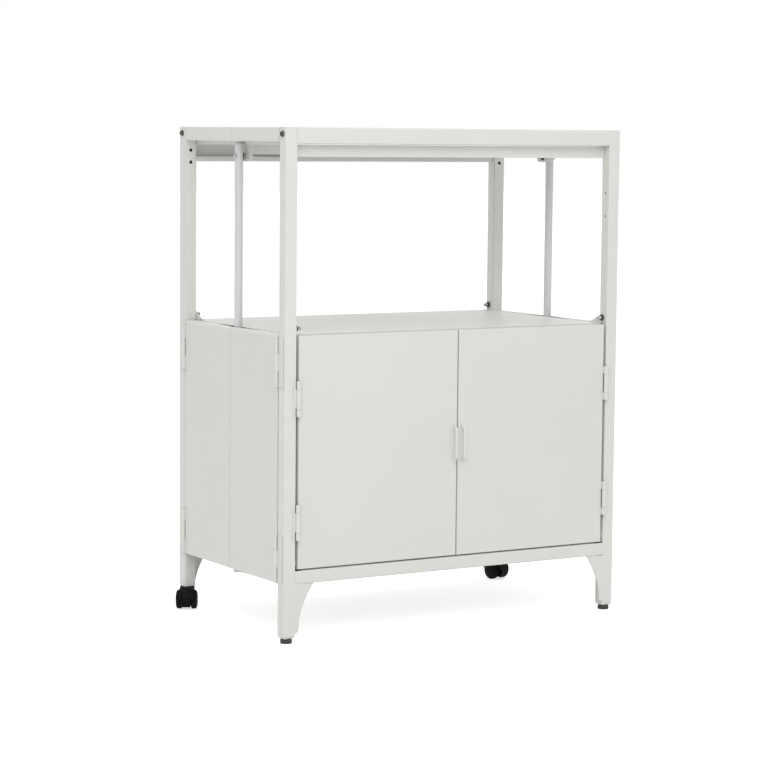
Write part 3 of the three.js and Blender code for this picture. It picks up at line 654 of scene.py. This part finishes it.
def rib_ring(name, count, radius, lift, size, key, place):
    """A piece of ribs round a circle in the given placement, its edges softened"""
    tree = bpy.data.node_groups.get("rib_ring") or rib_ring_tree()
    piece = linked(name, bpy.data.meshes.new(name))
    modifier = piece.modifiers.new("ribs", "NODES")
    modifier.node_group = tree
    modifier[socket_of(tree, "Count")] = count
    modifier[socket_of(tree, "Radius")] = radius
    modifier[socket_of(tree, "Lift")] = (0, 0, lift)
    modifier[socket_of(tree, "Size")] = size
    modifier[socket_of(tree, "Material")] = material(key)
    baked(piece)
    piece.data.transform(place)
    return rounded(piece, min(size) / 5)


# Operators


class CABINET_OT_frames(bpy.types.Operator):
    """Make the legs, rails, back panel and feet"""

    bl_idname = "cabinet.frames"
    bl_label = "Leg Frames"

    def execute(self, context):
        sizes = size_settings()
        for end in ENDS:
            for side in SIDES:
                finished_node(f"leg_{end}_{side}", "tube", "paint", sizes.tube_edge)
        for node in ("front_top_rail", "front_bottom_rail", "rear_top_rail", "rear_bottom_rail"):
            finished_node(node, "tube", "paint", sizes.tube_edge, reach=sizes.weld_reach)
        finished_node("back_panel", "sheet", "panel_paint", sizes.sheet_edge)
        for side in SIDES:
            make_foot(side, sizes.foot_ribs)
        return {"FINISHED"}


def make_foot(side, ribs):
    """A rubber foot with a rounded sole, grip ribs and its spigot"""
    node = f"foot_{side}"
    low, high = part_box(node)
    radius = (high.x - low.x) / 2
    height = 7 * MM
    groove = 0.6 * MM
    recess = 0.4 * MM
    sole_edge = 1.6 * MM
    rim_edge = 0.8 * MM
    spigot = 4.4 * MM
    base = Matrix.Translation(Vector(((low.x + high.x) / 2, (low.y + high.y) / 2, 0)))
    shape = bmesh.new()
    sole = arc((radius - sole_edge, sole_edge), sole_edge, -90, 0)
    rim = arc((radius - rim_edge, height - rim_edge), rim_edge, 0, 90)
    waist = [(radius - groove, 3.0 * MM), (radius - groove, 4.2 * MM)]
    profile = [(0, recess), (radius - 5 * MM, recess), (radius - 4.4 * MM, 0)]
    profile += sole[:-1] + [(radius, 2.6 * MM)] + waist + [(radius, 4.6 * MM)] + rim
    profile += [(spigot, height), (spigot, high.z - 1 * MM), (spigot - 0.8 * MM, high.z), (0, high.z)]
    turned(shape, profile, 48, base)
    piece = from_bmesh(f"{node}_rubber", shape, "foot_rubber")
    rounded(piece, 0)
    ride(piece, BODY_OF[node], "foot_rubber", node)
    rib = (1.1 * MM, 0.7 * MM, 1.8 * MM)
    ring = rib_ring(f"{node}_ribs", ribs, radius - 0.65 * MM, 3.6 * MM, rib, "foot_rubber", base)
    ride(ring, BODY_OF[node], "foot_rubber")


class CABINET_OT_shelves(bpy.types.Operator):
    """Make the halves of the three folding shelves"""

    bl_idname = "cabinet.shelves"
    bl_label = "Folding Shelves"

    def execute(self, context):
        sizes = size_settings()
        for level in LEVELS:
            for end in ENDS:
                finished_node(f"{level}_shelf_{end}", "sheet", "paint", sizes.sheet_edge)
        for end in ENDS:
            for side in SIDES:
                make_tray_edge(end, side, sizes.sheet_edge)
        return {"FINISHED"}


def make_tray_edge(end, side, edge):
    """The folded edge of a tray half, which closes the gap up to the side rail"""
    forth = -1 if end == "front" else 1
    out = -1 if side == "left" else 1
    near, far = 0.8 * MM, 179 * MM
    low, high = 861.4 * MM, 867.0 * MM
    outline = [(near, low), (near, high), (far, high), (far, low)]
    span = sorted((out * 324.6 * MM, out * 325.9 * MM))
    shape = bmesh.new()
    prism(shape, [(forth * y, z) for y, z in outline], *span, ACROSS_X)
    piece = from_bmesh(f"tray_edge_{end}_{side}", shape, "paint")
    rounded(piece, edge / 2)
    ride(piece, BODY_OF[f"top_shelf_{end}"], "paint")


class CABINET_OT_links(bpy.types.Operator):
    """Make the upright link rods and the hinge pins with their nuts"""

    bl_idname = "cabinet.links"
    bl_label = "Link Rods"

    def execute(self, context):
        for side in SIDES:
            make_rod(side)
        for level in ("deck", "base"):
            make_long_pin(level)
        for side in SIDES:
            make_short_pin(side)
        return {"FINISHED"}


def make_rod(side):
    """A round tube with a pressed cap on its upper end"""
    node = f"link_rod_{side}"
    low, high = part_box(node)
    radius = (high.y - low.y) / 2
    middle = (low + high) / 2
    cap = 2.2 * MM
    bore = radius - 1.2 * MM
    plug = high.z - 3 * MM
    profile = [(0, plug), (bore, plug), (bore, low.z), (radius - 0.3 * MM, low.z)]
    profile += [(radius, low.z + 0.4 * MM), (radius, high.z - cap)]
    profile += arc((radius - cap, high.z - cap), cap, 0, 90) + [(0, high.z)]
    shape = bmesh.new()
    turned(shape, profile, 48, Matrix.Translation(Vector((middle.x, middle.y, 0))))
    piece = from_bmesh(f"{node}_tube", shape, "rod")
    rounded(piece, 0)
    ride(piece, BODY_OF[node], "rod", node)


def nut(shape, place, across, height):
    """Adds a hexagon nut with chamfered corners, standing on local Z 0"""
    corner = across / math.sqrt(3)
    inner = across / 2 * 0.98
    edge = (corner - inner) * 0.6
    hexagon = ring_points(corner, 6)
    small = ring_points(inner, 6)
    levels = ((0, small), (edge, hexagon), (height - edge, hexagon), (height, small))
    rings = [
        [shape.verts.new(place @ Vector((x, y, z))) for x, y in outline] for z, outline in levels
    ]
    shape.faces.new(rings[0][::-1])
    shape.faces.new(rings[-1])
    for lower, upper in zip(rings, rings[1:]):
        for i in range(6):
            j = (i + 1) % 6
            shape.faces.new((lower[i], lower[j], upper[j], upper[i]))


def washer(shape, place, radius, thickness):
    """Adds a washer with softened edges, standing on local Z 0"""
    edge = thickness * 0.25
    profile = [(0, 0), (radius - edge, 0), (radius, edge)]
    profile += [(radius, thickness - edge), (radius - edge, thickness), (0, thickness)]
    turned(shape, profile, 32, place)


def threaded_end(shape, place, radius, length):
    """Adds the end of a bolt with its thread as rings, standing on local Z 0"""
    pitch = 0.8 * MM
    depth = 0.35 * MM
    turns = max(1, int((length - 0.6 * MM) / pitch))
    profile = [(0, 0), (radius, 0)]
    for i in range(turns):
        profile += [(radius, (i + 0.5) * pitch), (radius - depth, (i + 1) * pitch)]
    profile += [(radius - depth, length - 0.2 * MM), (radius - 2 * depth, length), (0, length)]
    turned(shape, profile, 24, place)


def pin_washer(shape, sign, middle, across):
    """Adds the washer and thin nut between the lugs and a link rod"""
    thickness = 1.0 * MM
    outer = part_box("link_rod_right")[0].x - PLAY
    place = along_x((sign * outer, middle.y, middle.z), -sign)
    washer(shape, place, across / 2, thickness)
    nut(shape, place @ Matrix.Translation((0, 0, thickness)), across * 0.86, 2.8 * MM)


def make_long_pin(level):
    """A hinge pin across the shelf, with a washer and nut beside each link rod"""
    node = f"hinge_pin_{level}"
    low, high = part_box(node)
    middle = (low + high) / 2
    chamfer = 0.5 * MM
    half = high.x
    profile = [(0, -half), (PIN_RADIUS - chamfer, -half), (PIN_RADIUS, -half + chamfer)]
    profile += [(PIN_RADIUS, half - chamfer), (PIN_RADIUS - chamfer, half), (0, half)]
    shape = bmesh.new()
    turned(shape, profile, 32, along_x((0, middle.y, middle.z)))
    for sign in (-1, 1):
        pin_washer(shape, sign, middle, high.z - low.z)
    piece = from_bmesh(f"{node}_rod", shape, "dark_steel")
    rounded(piece, 0)
    ride(piece, BODY_OF[node], "dark_steel", node)


def make_short_pin(side):
    """A rivet pin through the tray's lugs and a link rod: dark inside, bright beside and outside the rod"""
    node = f"hinge_pin_top_{side}"
    low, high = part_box(node)
    middle = (low + high) / 2
    sign = 1 if middle.x > 0 else -1
    inner = min(abs(low.x), abs(high.x))
    outer = max(abs(low.x), abs(high.x))
    head = 4 * MM
    shape = bmesh.new()
    place = along_x((sign * (inner + head), middle.y, middle.z), sign)
    length = outer - inner - 2 * head
    turned(shape, shank(PIN_RADIUS, length), 32, place)
    turned(shape, domed_head(5.8 * MM, head), 32, place @ Matrix.Rotation(math.pi, 4, "X"))
    piece = from_bmesh(f"{node}_rivet", shape, "dark_steel")
    rounded(piece, 0)
    ride(piece, BODY_OF[node], "dark_steel", node)
    shape = bmesh.new()
    turned(shape, domed_head(4.6 * MM, 2.4 * MM), 32, place @ Matrix.Translation((0, 0, length)))
    pin_washer(shape, sign, middle, high.z - low.z)
    piece = from_bmesh(f"{node}_end", shape, "steel")
    rounded(piece, 0)
    ride(piece, BODY_OF[node], "steel")


def shank(radius, length):
    """The outline of a plain round shank, standing on local Z 0"""
    return [(0, 0), (radius, 0), (radius, length), (0, length)]


def domed_head(width, height):
    """The outline of a low domed head, standing on local Z 0"""
    edge = height * 0.13
    dome = [(width * math.cos(turn), edge + (height - edge) * math.sin(turn)) for turn in quarter_turns()]
    return [(0, 0), (width, 0)] + dome[:-1] + [(0, height)]


def quarter_turns(steps=8):
    return [math.pi / 2 * i / steps for i in range(steps + 1)]


class CABINET_OT_bolts(bpy.types.Operator):
    """Make the pivot bolts at the corners of the top and of the deck"""

    bl_idname = "cabinet.bolts"
    bl_label = "Pivot Bolts"

    def execute(self, context):
        for end in ENDS:
            for side in SIDES:
                make_top_bolt(f"top_bolt_{end}_{side}")
                make_deck_bolt(f"deck_bolt_{end}_{side}")
        return {"FINISHED"}


def make_top_bolt(node):
    """A button head bolt with a round socket outside the leg, and a nut inside"""
    low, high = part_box(node)
    middle = (low + high) / 2
    sign = 1 if middle.x > 0 else -1
    radius = (high.z - low.z) / 2
    outer = max(abs(low.x), abs(high.x))
    inner = min(abs(low.x), abs(high.x))
    face = outer - TOP_HEAD
    place = along_x((sign * face, middle.y, middle.z), sign)
    shape = bmesh.new()
    base = 1.0 * MM
    lift = 0.4 * MM
    washer(shape, place, radius, base)
    dome = arc((0.0, lift), 1.0, 0, 90, 7)
    rise = TOP_HEAD - base
    width = radius - 0.7 * MM
    socket = 2.2 * MM
    profile = [(0, base), (width, base)]
    profile += [(width * x, base + rise * 0.94 * max(0, y - lift)) for x, y in dome[:-2]]
    crown = profile[-1][1]
    profile += [(socket, crown), (socket, crown - 1.8 * MM), (0, crown - 1.8 * MM)]
    turned(shape, profile, 32, place)
    length = face - inner
    back = place @ Matrix.Rotation(math.pi, 4, "X")
    turned(shape, shank(PIN_RADIUS, length - 6 * MM), 24, back)
    nut_place = back @ Matrix.Translation((0, 0, length - 5 * MM))
    nut(shape, nut_place, radius * 2 * 0.92, 3.8 * MM)
    threaded_end(shape, nut_place @ Matrix.Translation((0, 0, -0.9 * MM)), 2.9 * MM, 5.9 * MM)
    piece = from_bmesh(f"{node}_plated", shape, "dark_steel")
    rounded(piece, 0)
    ride(piece, BODY_OF[node], "dark_steel", node)


def make_deck_bolt(node):
    """A bolt through the corner ear of the deck, with a washer and a nut, and its bare end inside"""
    low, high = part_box(node)
    middle = (low + high) / 2
    sign = 1 if middle.x > 0 else -1
    radius = (high.z - low.z) / 2
    outer = max(abs(low.x), abs(high.x))
    inner = min(abs(low.x), abs(high.x))
    face = inner + DECK_TAIL + DECK_NUT
    place = along_x((sign * face, middle.y, middle.z), -sign)
    thickness = 0.9 * MM
    shape = bmesh.new()
    washer(shape, place, radius, thickness)
    nut_place = place @ Matrix.Translation((0, 0, thickness))
    nut(shape, nut_place, radius * 2 * 0.9, DECK_NUT - thickness)
    piece = from_bmesh(f"{node}_nut", shape, "dark_steel")
    rounded(piece, 0)
    ride(piece, BODY_OF[node], "dark_steel", node)
    shape = bmesh.new()
    start = DECK_NUT - PLAY
    length = DECK_NUT + DECK_TAIL - start
    threaded_end(shape, place @ Matrix.Translation((0, 0, start)), 3.1 * MM, length)
    back = place @ Matrix.Rotation(math.pi, 4, "X")
    turned(shape, shank(PIN_RADIUS, outer - face), 24, back)
    piece = from_bmesh(f"{node}_shank", shape, "steel")
    rounded(piece, 0)
    ride(piece, BODY_OF[node], "steel")


class CABINET_OT_doors(bpy.types.Operator):
    """Make the doors, their hinges and pulls"""

    bl_idname = "cabinet.doors"
    bl_label = "Doors"

    def execute(self, context):
        sizes = size_settings()
        for side in SIDES:
            finished_node(f"door_{side}", "sheet", "panel_paint", sizes.sheet_edge)
            finished_node(f"pull_{side}", "strip", "paint", sizes.pull_edge, 3)
            for height in HEIGHTS:
                finished_node(f"door_hinge_{side}_{height}", "leaf", "paint", sizes.sheet_edge)
        return {"FINISHED"}


class CABINET_OT_side_panels(bpy.types.Operator):
    """Make the folding side panels and their hinges"""

    bl_idname = "cabinet.side_panels"
    bl_label = "Side Panels"

    def execute(self, context):
        sizes = size_settings()
        for end in ENDS:
            for side in SIDES:
                finished_node(f"side_panel_{end}_{side}", "sheet", "panel_paint", sizes.sheet_edge)
                for height in HEIGHTS:
                    node = f"side_hinge_{end}_{side}_{height}"
                    finished_node(node, "leaf", "paint", sizes.sheet_edge)
        return {"FINISHED"}


class CABINET_OT_casters(bpy.types.Operator):
    """Make the two twin wheel casters"""

    bl_idname = "cabinet.casters"
    bl_label = "Casters"

    def execute(self, context):
        for side in SIDES:
            make_caster(side)
        return {"FINISHED"}


class CasterPlace:
    """Where a caster stands: outlines of its hood are drawn in (behind the stem, height)"""

    def __init__(self, side):
        swivel = Vector(JOINTS[f"{side}_caster_swivel"]["pos_m"])
        self.axle_centre = Vector(JOINTS[f"{side}_caster_roll_a"]["pos_m"])
        trail = Vector((self.axle_centre.x - swivel.x, self.axle_centre.y - swivel.y, 0))
        back = trail.normalized()
        self.axle = Vector((back.y, -back.x, 0))
        turn = Matrix((self.axle, back, Vector((0, 0, 1)))).transposed().to_4x4()
        self.radius = self.axle_centre.z
        self.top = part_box(f"leg_rear_{side}")[0].z - SLIDE_GAP
        self.hood_radius = self.top - self.radius
        self.axle_spot = (trail.length, self.radius)
        self.stem = Matrix.Translation(Vector((swivel.x, swivel.y, 0)))
        self.section = self.stem @ turn @ ACROSS_X
        about_axle = Matrix.Translation(self.axle_centre) @ turn
        self.across_axle = about_axle @ Matrix.Rotation(math.pi / 2, 4, "Y")


def make_caster(side):
    """A twin wheel caster: hood with its guards and stem, axle and two domed wheels"""
    place = CasterPlace(side)
    make_hood(side, place)
    make_guards(side, place)
    make_stem(side, place)
    make_axle(side, place)
    for hand in SIDES:
        node = f"caster_wheel_{side}_{hand}"
        offset = (centre_of(node) - place.axle_centre).dot(place.axle)
        make_wheel(node, place, 1 if offset > 0 else -1)


def make_hood(side, place):
    """The web between the wheels, closed in front of the stem"""
    node = f"caster_hood_{side}"
    top, radius, hood_radius = place.top, place.radius, place.hood_radius
    start = -math.degrees(math.asin((radius - HOOD_FLOOR_GAP) / hood_radius))
    outline = arc(place.axle_spot, hood_radius, start, 90, 20)
    outline += [(-9 * MM, top), (-10.4 * MM, top - 0.6 * MM), (-11 * MM, top - 2 * MM)]
    outline += [(-11 * MM, radius + 3 * MM), (-9 * MM, radius)]
    outline += [(place.axle_spot[0] - hood_radius * 0.62, HOOD_FLOOR_GAP)]
    shape = bmesh.new()
    prism(shape, outline, -CASTER_WEB / 2, CASTER_WEB / 2, place.section)
    hood = from_bmesh(f"{node}_body", shape, "black_plastic")
    rounded(hood, 1.2 * MM, 3)
    ride(hood, BODY_OF[node], "black_plastic", node)


def make_guards(side, place):
    """The arched guards over the inner part of both wheels"""
    node = f"caster_hood_{side}"
    top, radius, hood_radius = place.top, place.radius, place.hood_radius
    outer = arc(place.axle_spot, hood_radius, 6, 90, 14)
    outer += [(-5 * MM, top), (-8 * MM, top - 3 * MM), (-8 * MM, radius + 2 * MM)]
    inner = arc(place.axle_spot, hood_radius - HOOD_WALL, 174, 6, 28)
    shape = bmesh.new()
    for sign in (-1, 1):
        low, high = sorted((sign * CASTER_WEB / 2, sign * (CASTER_WEB / 2 + HOOD_LAP)))
        prism(shape, outer + inner, low, high, place.section)
    guards = from_bmesh(f"{node}_guards", shape, "black_plastic")
    rounded(guards, 0.5 * MM, 2)
    ride(guards, BODY_OF[node], "black_plastic")


def make_stem(side, place):
    node = f"caster_hood_{side}"
    neck = STEM_RADIUS - 0.6 * MM
    foot = 30 * MM
    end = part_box(node)[1].z
    profile = [(0, foot), (neck, foot), (neck, place.top + 0.5 * MM), (STEM_RADIUS, place.top + 0.9 * MM)]
    profile += [(STEM_RADIUS, end - 1.2 * MM), (STEM_RADIUS - 1 * MM, end), (0, end)]
    shape = bmesh.new()
    turned(shape, profile, 32, place.stem)
    stem = from_bmesh(f"caster_stem_{side}", shape, "steel")
    rounded(stem, 0)
    ride(stem, BODY_OF[node], "steel")


def make_axle(side, place):
    node = f"caster_axle_{side}"
    low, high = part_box(node)
    half = math.hypot(high.x - low.x, high.y - low.y) / 2 - AXLE_RADIUS
    chamfer = 0.3 * MM
    profile = [(0, -half), (AXLE_RADIUS - chamfer, -half), (AXLE_RADIUS, -half + chamfer)]
    profile += [(AXLE_RADIUS, half - chamfer), (AXLE_RADIUS - chamfer, half), (0, half)]
    shape = bmesh.new()
    turned(shape, profile, 24, place.across_axle)
    axle = from_bmesh(f"{node}_pin", shape, "steel")
    rounded(axle, 0)
    ride(axle, BODY_OF[node], "steel", node)


def make_wheel(node, place, sign):
    """A wheel with a rubber tread band and a domed nylon cap with shallow spokes"""
    radius, width = place.radius, WHEEL_WIDTH
    facing = place.across_axle @ Matrix.Rotation(0 if sign > 0 else math.pi, 4, "X")
    at = facing @ Matrix.Translation((0, 0, CASTER_WEB / 2 + SLIDE_GAP))
    band_inner = radius - 4.4 * MM
    edge = 1.2 * MM
    shoulder = 2.6 * MM
    tread = [(band_inner, 0.6 * MM), (radius - edge, 0.0)]
    tread += arc((radius - edge, edge), edge, -90, 0, 4)[1:]
    tread += arc((radius - shoulder, 7.0 * MM), shoulder, 0, 72, 6)
    tread += [(band_inner, 9.4 * MM), (band_inner, 0.6 * MM)]
    shape = bmesh.new()
    turned(shape, tread, 64, at)
    bmesh.ops.remove_doubles(shape, verts=shape.verts, dist=WELD)
    band = from_bmesh(f"{node}_tread", shape, "rubber")
    rounded(band, 0)
    ride(band, BODY_OF[node], "rubber", node)

    bore = 2.65 * MM
    bore_end = width - 1.4 * MM
    rim = radius - 2.3 * MM
    cap = [(bore, 0.3 * MM), (rim - 2.4 * MM, 0.3 * MM), (rim - 2.4 * MM, 9.0 * MM)]
    cap += [(rim - 0.3 * MM, 9.3 * MM), (rim, 9.7 * MM), (rim - 0.5 * MM, 10.2 * MM)]
    cap += [(rim - 2.4 * MM, 10.8 * MM), (rim - 3.1 * MM, 10.4 * MM), (rim - 3.8 * MM, 10.9 * MM)]
    cap += [(8.4 * MM, 11.3 * MM), (5.4 * MM, width - 0.1 * MM), (4.8 * MM, width - 0.6 * MM)]
    cap += [(4.2 * MM, width - 0.1 * MM), (0, width), (0, bore_end), (bore, bore_end), (bore, 0.3 * MM)]
    shape = bmesh.new()
    turned(shape, cap, 64, at)
    bmesh.ops.remove_doubles(shape, verts=shape.verts, dist=WELD)
    disc = from_bmesh(f"{node}_cap", shape, "black_plastic")
    rounded(disc, 0)
    ride(disc, BODY_OF[node], "black_plastic")
    spoke = (3.6 * MM, 1.2 * MM, 0.8 * MM)
    count = size_settings().cap_spokes
    spokes = rib_ring(f"{node}_spokes", count, 7.6 * MM, 11.2 * MM, spoke, "black_plastic", at)
    ride(spokes, BODY_OF[node], "black_plastic")


class CABINET_OT_stage(bpy.types.Operator):
    """Make the pale floor, the lamps, the surround and the camera"""

    bl_idname = "cabinet.stage"
    bl_label = "Studio"

    def execute(self, context):
        studio = context.scene.cabinet_studio
        make_floor(studio)
        make_surround(studio)
        make_lamps(studio)
        make_camera(studio)
        context.scene.view_settings.view_transform = "Standard"
        return {"FINISHED"}


def make_floor(studio):
    half = studio.floor_size / 2
    mesh = bpy.data.meshes.new("floor")
    corners = [(-half, -half, 0), (half, -half, 0), (half, half, 0), (-half, half, 0)]
    mesh.from_pydata(corners, [], [(0, 1, 2, 3)])
    floor = linked("floor", mesh)
    surface = bpy.data.materials.new("pale_floor")
    surface.use_nodes = True
    nodes, links = surface.node_tree.nodes, surface.node_tree.links
    nodes.clear()
    path = nodes.new("ShaderNodeLightPath")
    matte = nodes.new("ShaderNodeBsdfDiffuse")
    matte.inputs["Color"].default_value = (*[studio.floor_white] * 3, 1)
    strength = nodes.new("ShaderNodeMath")
    strength.operation = "MULTIPLY"
    strength.inputs[1].default_value = studio.floor_glow
    links.new(seen_directly(nodes, links, path), strength.inputs[0])
    glow = nodes.new("ShaderNodeEmission")
    links.new(strength.outputs["Value"], glow.inputs["Strength"])
    both = nodes.new("ShaderNodeAddShader")
    links.new(matte.outputs["BSDF"], both.inputs[0])
    links.new(glow.outputs["Emission"], both.inputs[1])
    output = nodes.new("ShaderNodeOutputMaterial")
    links.new(both.outputs["Shader"], output.inputs["Surface"])
    mesh.materials.append(surface)


def seen_directly(nodes, links, path):
    """1 for rays from the camera, from gloss and through glass, and 0 for the light that falls on things"""
    first = nodes.new("ShaderNodeMath")
    first.operation = "MAXIMUM"
    links.new(path.outputs["Is Camera Ray"], first.inputs[0])
    links.new(path.outputs["Is Glossy Ray"], first.inputs[1])
    second = nodes.new("ShaderNodeMath")
    second.operation = "MAXIMUM"
    links.new(first.outputs["Value"], second.inputs[0])
    links.new(path.outputs["Is Transmission Ray"], second.inputs[1])
    return second.outputs["Value"]


def make_surround(studio):
    world = bpy.data.worlds.new("studio")
    bpy.context.scene.world = world
    world.use_nodes = True
    nodes, links = world.node_tree.nodes, world.node_tree.links
    nodes.clear()
    path = nodes.new("ShaderNodeLightPath")
    level = nodes.new("ShaderNodeMapRange")
    level.inputs["To Min"].default_value = studio.surround
    level.inputs["To Max"].default_value = 1
    links.new(seen_directly(nodes, links, path), level.inputs["Value"])
    light = nodes.new("ShaderNodeBackground")
    light.inputs["Color"].default_value = (1, 1, 1, 1)
    links.new(level.outputs["Result"], light.inputs["Strength"])
    output = nodes.new("ShaderNodeOutputWorld")
    links.new(light.outputs["Background"], output.inputs["Surface"])


def lamp(name, place, aim, size, power):
    data = bpy.data.lights.new(name, "AREA")
    data.shape = "RECTANGLE"
    data.size, data.size_y = size
    data.energy = power
    light = bpy.data.objects.new(name, data)
    bpy.context.scene.collection.objects.link(light)
    light.location = place
    light.rotation_euler = (Vector(aim) - Vector(place)).to_track_quat("-Z", "Y").to_euler()


def make_lamps(studio):
    middle = (0, 0, 0.5)
    lamp("key", place=(-1.4, -2.8, 3.0), aim=middle, size=(3.0, 2.4), power=studio.key_power)
    lamp("overhead", place=(0, 0.3, 3.2), aim=middle, size=(2.4, 2.4), power=studio.top_power)


def make_camera(studio):
    yaw, pitch, roll = studio.camera_yaw, studio.camera_pitch, studio.camera_roll
    ahead = Vector((math.sin(yaw) * math.cos(pitch), math.cos(yaw) * math.cos(pitch), -math.sin(pitch)))
    level = Vector((math.cos(yaw), -math.sin(yaw), 0))
    up = level.cross(ahead)
    right = math.cos(roll) * level - math.sin(roll) * up
    top = math.sin(roll) * level + math.cos(roll) * up
    data = bpy.data.cameras.new("camera")
    data.sensor_fit = "HORIZONTAL"
    data.sensor_width = studio.sensor
    data.lens = studio.lens
    data.clip_end = 200
    camera = bpy.data.objects.new("camera", data)
    bpy.context.scene.collection.objects.link(camera)
    turn = Matrix((right, top, -ahead)).transposed().to_4x4()
    camera.matrix_world = Matrix.Translation(studio.camera_place) @ turn
    bpy.context.scene.camera = camera


class CABINET_PT_panel(bpy.types.Panel):
    """Lists the makers of the cabinet's pieces"""

    bl_label = "Storage Cabinet"
    bl_idname = "CABINET_PT_panel"
    bl_space_type = "VIEW_3D"
    bl_region_type = "UI"
    bl_category = "Cabinet"

    def draw(self, context):
        for maker in MAKERS:
            self.layout.operator(maker.bl_idname)


SETTINGS = (
    ("cabinet_finish", CabinetFinish),
    ("cabinet_sizes", CabinetSizes),
    ("cabinet_studio", CabinetStudio),
)
MAKERS = (
    CABINET_OT_frames,
    CABINET_OT_shelves,
    CABINET_OT_links,
    CABINET_OT_bolts,
    CABINET_OT_doors,
    CABINET_OT_side_panels,
    CABINET_OT_casters,
    CABINET_OT_stage,
)


def register():
    for name, group in SETTINGS:
        bpy.utils.register_class(group)
        setattr(bpy.types.Scene, name, bpy.props.PointerProperty(type=group))
    for maker in (*MAKERS, CABINET_PT_panel):
        bpy.utils.register_class(maker)


def unregister():
    for maker in (CABINET_PT_panel, *reversed(MAKERS)):
        bpy.utils.unregister_class(maker)
    for name, group in reversed(SETTINGS):
        delattr(bpy.types.Scene, name)
        bpy.utils.unregister_class(group)


def main():
    register()
    make_materials()
    for maker in MAKERS:
        prefix, action = maker.bl_idname.split(".")
        getattr(getattr(bpy.ops, prefix), action)()


if __name__ == "__main__":
    main()
